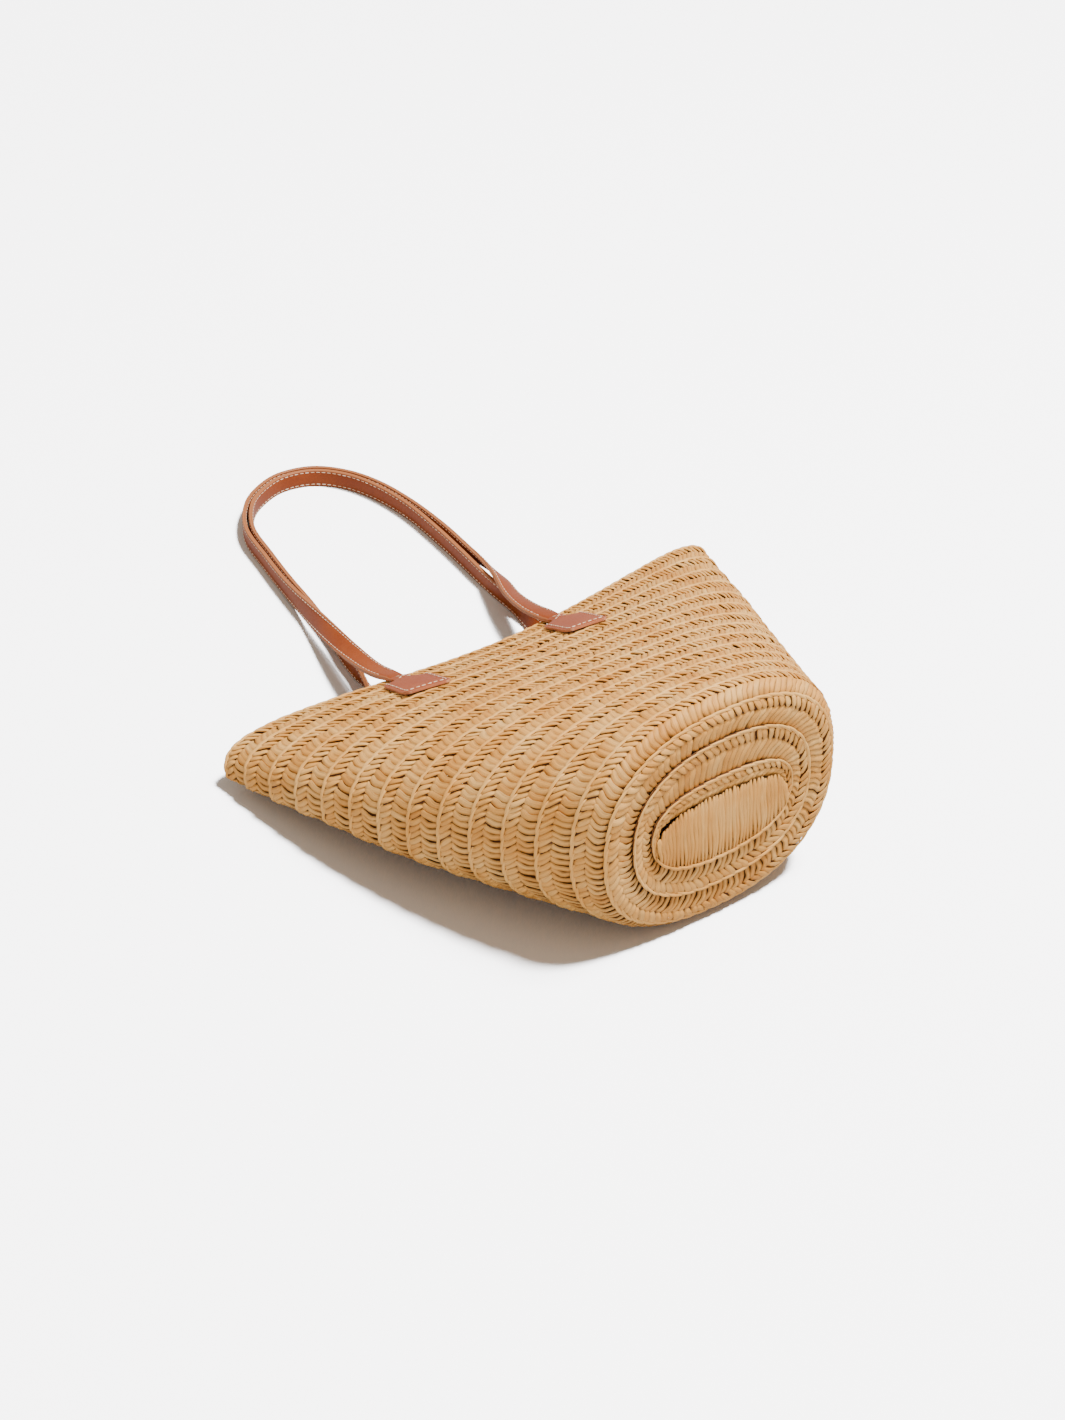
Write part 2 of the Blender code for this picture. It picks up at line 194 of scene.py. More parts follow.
@dataclass(frozen=True)
class ShellForm:
    """Outer surface of the bag. Rows count plait widths outward from the base's long axis."""

    pitch: float = 0.022
    tuck: float = 0.0033
    lap: float = 0.18
    rows_to_rim: float = 16.5
    base_half_width: float = 0.0874
    base_half_length: float = 0.1071
    strip_half_length: float = 0.0512
    base_end_power: float = 2.1
    edge_radius: float = 0.0164
    base_squareness: float = 2.36
    mouth_half_length: float = 0.236
    mouth_rise: float = 0.0311
    mouth_drop: float = 0.0052
    mouth_shift: float = 0.0471
    mouth_skew: float = 0.0725
    corner_reach: float = 1.014
    front_reach: float = 0.0342
    front_squareness: float = 2.84
    back_squareness: float = 2.71
    thickness_skew: float = 0.37
    row_rate: float = 1.01
    side_bow: float = 0.0080
    front_bow: float = 0.0086
    back_bow: float = -0.0028
    back_lift: float = 0.0054
    lift_start: float = 0.45
    lift_end: float = 0.70
    shift: tuple[float, float, float] = (-0.0471, -0.3336, 0.0)

    @staticmethod
    def _power(value: np.ndarray, power: np.ndarray | float) -> np.ndarray:
        """Raise to a power and keep the sign."""
        return np.sign(value) * np.abs(value) ** power

    def end_length(self, width: np.ndarray | float) -> np.ndarray | float:
        """Half length of the base's outline whose half width is width."""
        share = (np.abs(width) / self.base_half_width) ** self.base_end_power
        return self.strip_half_length + (self.base_half_length - self.strip_half_length) * share

    def _base(self, distance: np.ndarray, angle: np.ndarray) -> np.ndarray:
        """Point on the flat base or on its rounded edge."""
        flat = self.base_half_width - self.edge_radius
        turn = np.maximum(distance - flat, 0.0) / self.edge_radius
        width = np.minimum(distance, flat) + self.edge_radius * np.sin(turn)
        depth = self.edge_radius * (1.0 - np.cos(turn))
        power = 2.0 / self.base_squareness
        x = self.end_length(width) * self._power(np.cos(angle), power)
        z = width * self._power(np.sin(angle), power)
        return np.stack((x, depth, self.base_half_width + z), axis=-1)

    def _wall(self, share: np.ndarray, length: float, angle: np.ndarray) -> np.ndarray:
        """Point on the wall, share of the way from the base's edge to the rim."""
        def mix(start: float, end: float | np.ndarray) -> np.ndarray:
            """Go from start at the base to end at the rim."""
            return start + (end - start) * share

        bow = 4.0 * share * (1.0 - share)
        half_length = mix(self.base_half_length, self.mouth_half_length) + self.side_bow * bow
        rise = mix(self.base_half_width, self.mouth_rise) + self.front_bow * bow
        middle = mix(self.base_half_width, self.mouth_drop) + self.back_bow * bow
        front = np.sin(angle) >= 0.0
        squareness = mix(self.base_squareness,
                         np.where(front, self.front_squareness, self.back_squareness))
        x = half_length * self._power(np.cos(angle), 2.0 / squareness)
        skewed = rise * (1.0 - self.thickness_skew * share ** 2 * x / half_length)
        z = middle + np.where(front, skewed, middle) * self._power(np.sin(angle), 2.0 / squareness)
        lift_span = self.lift_end - self.lift_start
        lift = self.back_lift * smooth((share - self.lift_start) / lift_span)
        z = z + lift * np.maximum(0.0, 1.0 - z / (middle + rise))
        reach = self.mouth_skew * x + self.corner_reach * x * x
        reach = reach + self.front_reach * np.maximum(np.sin(angle), 0.0)
        y = self.edge_radius + self.row_rate * share * length + share * reach
        return np.stack((x + self.mouth_shift * np.abs(share) ** 1.5, y, z), axis=-1)

    def point(self, row: np.ndarray, angle: np.ndarray) -> np.ndarray:
        """Point on the bag's outer surface.

        Args:
            row: Rows outward from the base's long axis.
            angle: Radians round the bag, 0 at +X and a quarter turn at the front panel.

        Returns:
            World places, one line each.
        """
        row, angle = np.broadcast_arrays(np.asarray(row, float), np.asarray(angle, float))
        base_reach = self.base_half_width - self.edge_radius + self.edge_radius * math.pi / 2.0
        length = self.rows_to_rim * self.pitch - base_reach
        distance = row * self.pitch
        on_base = self._base(np.minimum(distance, base_reach), angle)
        share = np.maximum(distance - base_reach, 0.0) / length
        on_wall = self._wall(share, length, angle)
        place = np.where((distance <= base_reach)[..., None], on_base, on_wall)
        return place + np.array(self.shift)

    def normal(self, row: np.ndarray, angle: np.ndarray) -> np.ndarray:
        """Outward normal of the bag's surface at rows and angles."""
        along = self.point(row + 0.1, angle) - self.point(row - 0.1, angle)
        around = self.point(row, angle + 0.04) - self.point(row, angle - 0.04)
        across = np.cross(along, around)
        return across / np.linalg.norm(across, axis=-1, keepdims=True)

    def over(self, row: np.ndarray, angle: np.ndarray, height: np.ndarray | float) -> np.ndarray:
        """Point at a height over the bag's surface."""
        rise = np.asarray(height, float)[..., None]
        return self.point(row, angle) + self.normal(row, angle) * rise

    def angles_by_length(self, row: float) -> tuple[np.ndarray, np.ndarray, float]:
        """Measure round one row.

        Args:
            row: The row to measure along.

        Returns:
            Shares of the row's length, the angle at each, and the length in metres.
        """
        angles = np.linspace(0.0, 2.0 * math.pi, 1441)
        steps = np.linalg.norm(np.diff(self.point(row, angles), axis=0), axis=1)
        run = np.concatenate(([0.0], np.cumsum(steps)))
        return run / run[-1], angles, float(run[-1])

    def angle_at(self, row: np.ndarray, x: np.ndarray, side: Side) -> np.ndarray:
        """Angle at which a row of one panel passes a place across the bag."""
        row, x = np.broadcast_arrays(np.asarray(row, float), np.asarray(x, float))
        front = side is Side.FRONT
        low = np.full(row.shape, 0.0 if front else math.pi)
        high = low + math.pi
        for _ in range(40):
            middle = (low + high) / 2.0
            beyond = (self.point(row, middle)[..., 0] > x) == front
            low = np.where(beyond, middle, low)
            high = np.where(beyond, high, middle)
        return (low + high) / 2.0


# ---------------------------------------------------------------- finishes

def new_material(name: str) -> tuple[bpy.types.Material, bpy.types.NodeTree, bpy.types.Node]:
    """Start a material.

    Args:
        name: What the finish is.

    Returns:
        The material, its node tree and its Principled shader.
    """
    material = bpy.data.materials.new(name)
    material.use_nodes = True
    tree = material.node_tree
    return material, tree, tree.nodes["Principled BSDF"]


@dataclass(frozen=True)
class PaperStraw:
    """Twisted paper straw, dyed natural: dry flat strands with fine ridges along them.

    To the eye each strand has its own tone and its ridges catch the light. Painted shade: the low
    parts of strands, their sides and the backing seen between them are painted dark brown.
    """

    name: str = "plaited_paper_straw"
    pale: str = "#e9b467"
    mid: str = "#dc9d4b"
    warm: str = "#c98637"
    # painted shade: the dark brown on low-lying straw and on the backing seen between strands
    crevice_shade: str = "#57300f"
    roughness: float = 0.62
    ridge_per_mm: float = 1.6     # ridges are about 0.6 mm apart
    ridge_height: float = 0.00022

    def make(self) -> bpy.types.Material:
        """Build the material for pieces with the attributes strand and depth."""
        material, tree, shader = new_material(self.name)
        strand = add_node(tree, "ShaderNodeAttribute", {"attribute_name": "strand"})
        depth = add_node(tree, "ShaderNodeAttribute", {"attribute_name": "depth"})
        place = add_node(tree, "ShaderNodeTexCoord")
        parts = add_node(tree, "ShaderNodeSeparateXYZ", links={0: strand.outputs["Vector"]})
        stretched = add_node(tree, "ShaderNodeVectorMath", {
            "operation": "MULTIPLY", 1: (0.09, self.ridge_per_mm, 61.0)},
            {0: strand.outputs["Vector"]})
        ridges = add_node(tree, "ShaderNodeTexNoise", {"Scale": 1.0, "Detail": 3.0,
                                                       "Roughness": 0.6},
                          {"Vector": stretched.outputs[0]})
        blotches = add_node(tree, "ShaderNodeTexNoise", {"Scale": 34.0, "Detail": 2.0},
                            {"Vector": place.outputs["Object"]})
        tone = add_node(tree, "ShaderNodeMath", {"operation": "MULTIPLY_ADD", 1: 0.40},
                        {0: parts.outputs["Z"], 2: blotches.outputs["Fac"]})
        tones = add_node(tree, "ShaderNodeValToRGB", links={0: tone.outputs[0]})
        ramp = tones.color_ramp
        ramp.elements[0].position, ramp.elements[0].color = 0.36, colour(self.warm)
        ramp.elements[1].position, ramp.elements[1].color = 1.00, colour(self.pale)
        ramp.elements.new(0.66).color = colour(self.mid)
        streak = add_node(tree, "ShaderNodeMapRange", {"From Min": 0.30, "From Max": 0.62,
                                                       "To Min": 0.80, "To Max": 1.06},
                          {0: ridges.outputs["Fac"]})
        streaked = add_node(tree, "ShaderNodeVectorMath", {"operation": "SCALE"},
                            {0: tones.outputs["Color"], "Scale": streak.outputs[0]})
        # painted shade: each strand darkens towards its sides, drawing dark lines between strands
        off_centre = add_node(tree, "ShaderNodeMath", {"operation": "ABSOLUTE"},
                              {0: parts.outputs["Y"]})
        edge = add_node(tree, "ShaderNodeMapRange", {"From Min": 1.5, "From Max": 2.9,
                                                     "To Min": 1.0, "To Max": 0.5},
                        {0: off_centre.outputs[0]})
        edged = add_node(tree, "ShaderNodeVectorMath", {"operation": "SCALE"},
                         {0: streaked.outputs[0], "Scale": edge.outputs[0]})
        # painted shade: where the depth attribute is low, the straw is mixed towards the crevice
        # shade colour
        shaded = add_node(tree, "ShaderNodeMix", {"data_type": "RGBA", "clamp_factor": True,
                                                  6: colour(self.crevice_shade)},
                          {0: depth.outputs["Fac"], 7: edged.outputs[0]})
        tree.links.new(shaded.outputs[2], shader.inputs["Base Color"])
        bump = add_node(tree, "ShaderNodeBump", {"Strength": 0.9, "Distance": self.ridge_height},
                        {"Height": ridges.outputs["Fac"]})
        tree.links.new(bump.outputs[0], shader.inputs["Normal"])
        shader.inputs["Roughness"].default_value = self.roughness
        shader.inputs["Specular IOR Level"].default_value = 0.32
        return material


@dataclass(frozen=True)
class InnerStraw:
    """The plait's inner face: the same straw, flatter, in zigzag strands.

    Painted shade: its strand colour is the straw painted darker, and the gaps between strands
    darker still.
    """

    name: str = "plait_inner_face"
    # painted shade: strand is the straw painted darker, and gap is darker still, between the
    # strands
    strand: str = "#b98a55"
    gap: str = "#5f3f22"
    strand_pitch: float = 5.0     # mm along the row
    roughness: float = 0.78

    def make(self) -> bpy.types.Material:
        """Build the material for bands with the attribute strand: mm along and across the row."""
        material, tree, shader = new_material(self.name)
        strand = add_node(tree, "ShaderNodeAttribute", {"attribute_name": "strand"})
        parts = add_node(tree, "ShaderNodeSeparateXYZ", links={0: strand.outputs["Vector"]})
        zigzag = add_node(tree, "ShaderNodeMath", {"operation": "PINGPONG", 1: 7.3},
                          {0: parts.outputs["Y"]})
        slid = add_node(tree, "ShaderNodeMath", {"operation": "ADD"},
                        {0: parts.outputs["X"], 1: zigzag.outputs[0]})
        turns = add_node(tree, "ShaderNodeMath", {
            "operation": "MULTIPLY", 1: 2.0 * math.pi / self.strand_pitch}, {0: slid.outputs[0]})
        wave = add_node(tree, "ShaderNodeMath", {"operation": "SINE"}, {0: turns.outputs[0]})
        round_top = add_node(tree, "ShaderNodeMapRange", {"From Min": -1.0, "From Max": 0.1,
                                                          "interpolation_type": "SMOOTHSTEP"},
                             {0: wave.outputs[0]})
        grain = add_node(tree, "ShaderNodeTexNoise", {"Scale": 0.9, "Detail": 4.0},
                         {"Vector": strand.outputs["Vector"]})
        toned = add_node(tree, "ShaderNodeMath", {"operation": "MULTIPLY"},
                         {0: round_top.outputs[0], 1: grain.outputs["Fac"]})
        lit = add_node(tree, "ShaderNodeMapRange", {"From Max": 0.6}, {0: toned.outputs[0]})
        # painted shade: the colour goes towards the gap colour in the troughs between strands
        mixed = add_node(tree, "ShaderNodeMix", {"data_type": "RGBA", 6: colour(self.gap),
                                                 7: colour(self.strand)},
                         {0: lit.outputs[0]})
        tree.links.new(mixed.outputs[2], shader.inputs["Base Color"])
        bump = add_node(tree, "ShaderNodeBump", {"Strength": 0.8, "Distance": 0.0009},
                        {"Height": toned.outputs[0]})
        tree.links.new(bump.outputs[0], shader.inputs["Normal"])
        shader.inputs["Roughness"].default_value = self.roughness
        shader.inputs["Specular IOR Level"].default_value = 0.25
        return material


@dataclass(frozen=True)
class CoatedLeather:
    """Smooth split leather with a thin coat: faint pebbled grain, soft satin, paler on its edges.

    To the eye it is a warm brown with slow changes of tone. Its edges are painted paler and
    pinkish: partly the edge's own tone, partly a painted highlight where the edges catch the
    light.
    """

    name: str
    face: str
    worn: str
    # edge colour: the edge's own tone with a painted highlight on the rounded edges
    edge: str
    roughness: float = 0.42
    grain_mm: float = 1.1         # leather pebbles are nearer 0.5 mm: drawn coarser to show
    grain_height: float = 0.00010

    def make(self) -> bpy.types.Material:
        """Build the material for pieces with the attribute edge: 0 on the face, 1 on the edge."""
        material, tree, shader = new_material(self.name)
        place = add_node(tree, "ShaderNodeTexCoord")
        edge = add_node(tree, "ShaderNodeAttribute", {"attribute_name": "edge"})
        pebbles = add_node(tree, "ShaderNodeTexVoronoi", {"Scale": 1000.0 / self.grain_mm,
                                                          "feature": "SMOOTH_F1"},
                           {"Vector": place.outputs["Object"]})
        clouds = add_node(tree, "ShaderNodeTexNoise", {"Scale": 28.0, "Detail": 5.0,
                                                       "Roughness": 0.62},
                          {"Vector": place.outputs["Object"]})
        wear = add_node(tree, "ShaderNodeMapRange", {"From Min": 0.42, "From Max": 0.78},
                        {0: clouds.outputs["Fac"]})
        toned = add_node(tree, "ShaderNodeMix", {"data_type": "RGBA", 6: colour(self.face),
                                                 7: colour(self.worn)}, {0: wear.outputs[0]})
        speck = add_node(tree, "ShaderNodeMapRange", {"From Min": 0.0, "From Max": 0.7,
                                                      "To Min": 1.04, "To Max": 0.86},
                         {0: pebbles.outputs["Distance"]})
        grained = add_node(tree, "ShaderNodeVectorMath", {"operation": "SCALE"},
                           {0: toned.outputs[2], "Scale": speck.outputs[0]})
        # paler where the edge attribute is high: the edge's own tone and a painted highlight
        edged = add_node(tree, "ShaderNodeMix", {"data_type": "RGBA", 7: colour(self.edge)},
                         {0: edge.outputs["Fac"], 6: grained.outputs[0]})
        tree.links.new(edged.outputs[2], shader.inputs["Base Color"])
        gloss = add_node(tree, "ShaderNodeMapRange", {"To Min": self.roughness - 0.06,
                                                      "To Max": self.roughness + 0.14},
                         {0: clouds.outputs["Fac"]})
        tree.links.new(gloss.outputs[0], shader.inputs["Roughness"])
        bump = add_node(tree, "ShaderNodeBump", {"Strength": 0.6, "Distance": self.grain_height,
                                                 "invert": True},
                        {"Height": pebbles.outputs["Distance"]})
        tree.links.new(bump.outputs[0], shader.inputs["Normal"])
        shader.inputs["Specular IOR Level"].default_value = 0.3
        return material


@dataclass(frozen=True)
class WaxedThread:
    """Waxed linen sewing thread: cream, with a fine twist that breaks up its shine."""

    name: str = "waxed_cream_thread"
    light: str = "#f3dcc2"
    dark: str = "#cfa683"
    roughness: float = 0.55
    twist_mm: float = 0.5

    def make(self) -> bpy.types.Material:
        """Build the material."""
        material, tree, shader = new_material(self.name)
        place = add_node(tree, "ShaderNodeTexCoord")
        twist = add_node(tree, "ShaderNodeTexWave", {
            "Scale": 1000.0 / self.twist_mm / 20.0, "Distortion": 1.5,
            "bands_direction": "DIAGONAL"}, {"Vector": place.outputs["Object"]})
        mixed = add_node(tree, "ShaderNodeMix", {"data_type": "RGBA", 6: colour(self.dark),
                                                 7: colour(self.light)},
                         {0: twist.outputs["Fac"]})
        tree.links.new(mixed.outputs[2], shader.inputs["Base Color"])
        bump = add_node(tree, "ShaderNodeBump", {"Strength": 0.4, "Distance": 0.0001},
                        {"Height": twist.outputs["Fac"]})
        tree.links.new(bump.outputs[0], shader.inputs["Normal"])
        shader.inputs["Roughness"].default_value = self.roughness
        return material


@dataclass(frozen=True)
class Finishes:
    """Every material of the bag, made once."""

    straw: bpy.types.Material
    inner: bpy.types.Material
    strap: bpy.types.Material
    tab: bpy.types.Material
    thread: bpy.types.Material

    @staticmethod
    def make() -> Finishes:
        """Make the bag's materials."""
        return Finishes(
            straw=PaperStraw().make(),
            inner=InnerStraw().make(),
            # the last colour of each leather goes on its edges: their own tone with a painted
            # highlight
            strap=CoatedLeather("russet_strap_leather", "#8c3d12", "#9c4c1c", "#a8683f").make(),
            tab=CoatedLeather("rosy_tab_leather", "#96431f", "#a9572f", "#c08a68",
                              roughness=0.5).make(),
            thread=WaxedThread().make())


# ---------------------------------------------------------------- straw plait

@dataclass(frozen=True)
class Blank:
    """Straight closed strand, ready to be swept: x runs 0 to 1 along it, y and z round it."""

    places: np.ndarray
    faces: Faces

    @staticmethod
    def model(sides: int, steps: int) -> Blank:
        """Model a blank: a filled ring, extruded step by step.

        Args:
            sides: Corners of its section.
            steps: How many times it is extruded.

        Returns:
            The blank.
        """
        deselect_all()
        bpy.ops.mesh.primitive_circle_add(vertices=sides, radius=1.0, fill_type="NGON",
                                          rotation=(0.0, math.pi / 2.0, 0.0))
        ring = bpy.context.object
        bpy.ops.object.transform_apply(location=True, rotation=True, scale=True)
        bpy.ops.object.mode_set(mode="EDIT")
        bpy.ops.mesh.select_all(action="SELECT")
        for _ in range(steps):
            bpy.ops.mesh.extrude_region_move(
                TRANSFORM_OT_translate={"value": (1.0 / steps, 0.0, 0.0)})
        bpy.ops.mesh.select_all(action="SELECT")
        bpy.ops.mesh.normals_make_consistent(inside=False)
        bpy.ops.object.mode_set(mode="OBJECT")
        mesh = ring.data
        places = np.array([vertex.co[:] for vertex in mesh.vertices])
        faces = [tuple(face.vertices) for face in mesh.polygons]
        bpy.data.objects.remove(ring, do_unlink=True)
        return Blank(places, faces)


@dataclass(frozen=True)
class StrandPath:
    """One kind of strand in a plait cell, by evenly spaced stations, in millimetres.

    along is the way round the bag, across runs from the row's hidden edge to its outer edge, and
    rise is the height over the row's backing.
    """

    along: list[float]
    across: list[float]
    rise: list[float]
    width: list[float]
    thickness: list[float]
    tilt: float = 0.0
    cells: int = 1                # plait cells from one strand of this kind to the next

    def sweep(self, blank: Blank) -> np.ndarray:
        """Sweep a blank along the path.

        Args:
            blank: The straight strand.

        Returns:
            For each vertex: along, across, rise, then the run along and the place across it.
        """
        u = blank.places[:, 0]
        step = 0.01
        centre = np.stack([through(axis, u) for axis in (self.along, self.across, self.rise)], 1)
        ahead = np.stack([through(axis, u + step) for axis in (self.along, self.across)], 1)
        behind = np.stack([through(axis, u - step) for axis in (self.along, self.across)], 1)
        heading = ahead - behind
        heading /= np.linalg.norm(heading, axis=1, keepdims=True)
        side = np.stack((-heading[:, 1], heading[:, 0]), 1)
        half_width = through(self.width, u) / 2.0
        half_thick = through(self.thickness, u) / 2.0
        ring_y = np.sign(blank.places[:, 1]) * np.abs(blank.places[:, 1]) ** 0.8 * half_width
        ring_z = np.sign(blank.places[:, 2]) * np.abs(blank.places[:, 2]) ** 0.9 * half_thick
        out = ring_y * math.cos(self.tilt) - ring_z * math.sin(self.tilt)
        lift = ring_y * math.sin(self.tilt) + ring_z * math.cos(self.tilt)
        run = np.full(len(u), math.hypot(self.along[-1] - self.along[0],
                                         self.across[-1] - self.across[0])) * u
        return np.column_stack((centre[:, :2] + side * out[:, None], centre[:, 2] + lift,
                                run, ring_y))


LONG_STRAND = StrandPath(
    along=[5.0, 5.0, 4.6, 3.0, 0.6, -0.8], across=[1.6, 5.0, 9.0, 12.5, 15.5, 17.2],
    rise=[0.1, 0.75, 1.1, 1.1, 0.75, -0.35], width=[4.6, 5.9, 6.1, 5.7, 4.8, 3.0],
    thickness=[1.0, 1.5, 1.8, 1.8, 1.5, 0.9], tilt=0.31)
SHORT_STRAND = StrandPath(
    along=[-1.0, 0.6, 2.8, 4.6, 5.4], across=[15.8, 17.2, 19.6, 22.4, 24.2],
    rise=[-0.5, 0.65, 0.95, 0.75, 0.2], width=[3.0, 4.4, 4.9, 4.8, 4.0],
    thickness=[0.9, 1.4, 1.6, 1.5, 1.1], tilt=-0.27)
EDGE_FOLD = StrandPath(
    along=[-3.6, 0.6, 4.8, 9.0, 12.2], across=[22.9, 24.2, 24.8, 25.1, 25.3],
    rise=[0.3, 0.8, 0.95, 0.85, 0.4], width=[1.3, 2.0, 2.2, 2.0, 1.2],
    thickness=[0.9, 1.2, 1.4, 1.3, 0.9], tilt=0.06, cells=2)
STRIP_STRAND = StrandPath(
    along=[-2.2, -1.5, -0.8, -0.1, 0.5, 1.0, 1.5, 2.0], across=[0, 1, 2, 3, 4, 5, 6, 7],
    rise=[0.45, 0.85, 0.95, 1.0, 1.0, 0.95, 0.7, -0.1],
    width=[2.8, 3.9, 4.2, 4.3, 4.3, 4.2, 3.8, 2.8],
    thickness=[0.8, 1.2, 1.4, 1.4, 1.4, 1.4, 1.2, 0.8], tilt=0.20)
STRIP_FOLD = StrandPath(
    along=[-4.0, 0.0, 4.0, 8.0, 11.0], across=[-0.9, 0.0, 0.4, 0.4, -0.1],
    rise=[0.4, 1.1, 1.25, 1.1, 0.5], width=[1.6, 2.6, 2.9, 2.6, 1.5],
    thickness=[0.9, 1.3, 1.5, 1.4, 0.9])


@dataclass
class StrawShell:
    """The bag's shell: rows of plait strands over a thin backing band, each row one piece."""

    form: ShellForm
    finishes: Finishes
    strand_pitch: float = 5.0     # mm between strands along a row
    row_span: float = 25.96       # mm from a row's hidden edge to its outer edge
    band_drop: float = 0.9        # mm from the row's surface down to its backing's outer face
    band_thickness: float = 1.3
    band_columns: int = 220
    wobble: float = 0.40          # mm, hand of the plaiter
    seam_sag: float = 0.35        # rows that the base's first seams sag on the upper side
    seam_row: float = 1.5         # where they sag most
    seam_spread: float = 0.6      # rows over which the sag fades
    stray_across: float = 0.30    # mm, spread of the strands' places across the row
    stray_up: float = 0.19        # mm, spread of their heights
    fold_stray_up: float = 0.06
    bend: tuple[float, float] = (0.42, 0.50)    # sideways bends: mm, and radians a mm
    ripple: tuple[float, float] = (0.20, 0.85)  # bends up and down: mm, and radians a mm
    tone_spread: float = 0.22     # how much the strands differ in tone
    strip_pitch: float = 3.0      # mm between the centre strip's strands
    strip_cover: float = 5.2      # mm that they reach past the strip's upper edge
    base_rings: int = 2
    wall_rows: int = 13
    random: np.random.Generator = field(default_factory=lambda: np.random.default_rng(7))

    def __post_init__(self) -> None:
        """Model the strands of one plait cell."""
        self.kinds = [(LONG_STRAND, Blank.model(8, 9)), (SHORT_STRAND, Blank.model(8, 6)),
                      (EDGE_FOLD, Blank.model(8, 6))]

    def build(self) -> list[bpy.types.Object]:
        """Build every row, from the base to the rim.

        Returns:
            The finished pieces.
        """
        names = [f"base_ring_{number + 1}" for number in range(self.base_rings)]
        names.append("base_edge_row")
        names += [f"wall_row_{number + 1:02d}" for number in range(self.wall_rows)]
        pieces = [self.centre_strip()]
        first = 0.5
        for name in names:
            pieces.append(self.row(name, first))
            first += 1.0
        return pieces

    def row(self, node: str, first: float) -> bpy.types.Object:
        """Build one closed row.

        Args:
            node: The CAD row that this one stands for.
            first: Where the row's hidden edge lies, in rows.

        Returns:
            The row's piece.
        """
        last = min(first + 1.0 + self.form.lap, self.form.rows_to_rim)
        squeeze = (last - first) / (1.0 + self.form.lap)
        shares, angles, length = self.form.angles_by_length((first + last) / 2.0)
        cells = 2 * round(length / MM / self.strand_pitch / 2.0)
        pitch = length / MM / cells

        def place(along: np.ndarray, across: np.ndarray, rise: np.ndarray) -> np.ndarray:
            """Lay points, in millimetres along, across and over the row, on the bag."""
            angle = np.interp(np.mod(along * MM / length, 1.0), shares, angles)
            height = -self.form.tuck * (1.0 - across / self.row_span) + rise * MM
            row = first + across * squeeze * MM / self.form.pitch
            near = np.exp(-((row - self.seam_row) / self.seam_spread) ** 2)
            return self.form.over(row - self.seam_sag * near * np.maximum(np.sin(angle), 0.0),
                                  angle, height)

        parts = [self.strands(place, kind, blank, cells, pitch) for kind, blank in self.kinds]
        parts.append(self.band(place, length / MM))
        return self.join(f"straw_{node}", parts, node)

    @staticmethod
    def copies(kind: StrandPath, blank: Blank, cells: int
               ) -> tuple[np.ndarray, np.ndarray, Faces]:
        """Sweep one strand and repeat it.

        Args:
            kind: The strand's path.
            blank: The strand's blank.
            cells: How many copies to make.

        Returns:
            For each vertex the number of its copy and its swept values, and all the faces.
        """
        swept = kind.sweep(blank)
        count = len(swept)
        faces = [tuple(corner + copy * count for corner in face)
                 for copy in range(cells) for face in blank.faces]
        return np.repeat(np.arange(cells), count), np.tile(swept, (cells, 1)), faces

    def strands(self, place: Placer, kind: StrandPath, blank: Blank, cells: int,
                pitch: float) -> RowPart:
        """Copy one kind of strand along a row, each copy a little different.

        Args:
            place: Turns millimetres along, across and over the row into world places.
            kind: The strand's path.
            blank: The strand's blank.
            cells: How many copies go round the row.
            pitch: Millimetres between them.

        Returns:
            Vertices, faces, the strand attribute, the depth attribute and material numbers.
        """
        cells, pitch = cells // kind.cells, pitch * kind.cells
        number, tiled, faces = self.copies(kind, blank, cells)
        sway, spread, lift, tone = (self.random.normal(0.0, 1.0, cells) for _ in range(4))
        along = number * pitch + tiled[:, 0] + sway[number] * self.wobble
        across, rise, run = tiled[:, 1], tiled[:, 2], tiled[:, 3]
        # depth, from each strand's height over the backing, drives the straw's painted shade: low
        # parts come out dark
        if kind is EDGE_FOLD:
            rise = rise + lift[number] * self.fold_stray_up
            shade = 0.5 + (0.35 + 0.05 * tone)
            depth = smooth((rise + 0.9) / 1.35)
        else:
            across = across + spread[number] * self.stray_across
            rise = rise + lift[number] * self.stray_up
            along = along + self.bend[0] * np.sin(run * self.bend[1] + tone[number] * 3.0)
            rise = rise + self.ripple[0] * np.sin(run * self.ripple[1] + sway[number] * 3.0)
            shade = 0.5 + self.tone_spread * tone
            depth = smooth((rise + 0.22) / 1.35)
        vertices = place(along, across, rise - self.band_drop)
        strand = np.column_stack((run, tiled[:, 4], np.clip(shade, 0.0, 1.0)[number]))
        return vertices, faces, strand, depth, [0] * len(faces)

    def band(self, place: Placer, length: float) -> RowPart:
        """Build the thin closed band that backs a row's strands.

        Args:
            place: Turns millimetres along, across and over the row into world places.
            length: The row's length in millimetres.

        Returns:
            Vertices, faces, the strand attribute, the depth attribute and material numbers.
        """
        low = -self.band_drop - self.band_thickness
        high = -self.band_drop
        widths = np.linspace(0.6, self.row_span - 0.9, 7)
        section = [(0.2, (low + high) / 2.0)]
        section += [(width, high) for width in widths]
        section += [(self.row_span - 0.4, (low + high) / 2.0)]
        section += [(width, low) for width in widths[::-1]]
        corners = len(section)
        runs = np.repeat(np.arange(self.band_columns) * length / self.band_columns, corners)
        across = np.tile([corner[0] for corner in section], self.band_columns)
        rise = np.tile([corner[1] for corner in section], self.band_columns)
        vertices = place(runs, across, rise)
        faces = []
        for column in range(self.band_columns):
            here = column * corners
            there = (column + 1) % self.band_columns * corners
            for corner in range(corners):
                after = (corner + 1) % corners
                faces.append((here + corner, here + after, there + after, there + corner))
        # the outer face has tone 0 and depth 0, so the straw material paints it all as shade, seen
        # between strands
        strand = np.column_stack((runs, across, np.zeros(len(runs))))
        slots = [0 if corner <= len(widths) else 1 for corner in range(corners)]
        return vertices, faces, strand, np.zeros(len(runs)), slots * self.band_columns

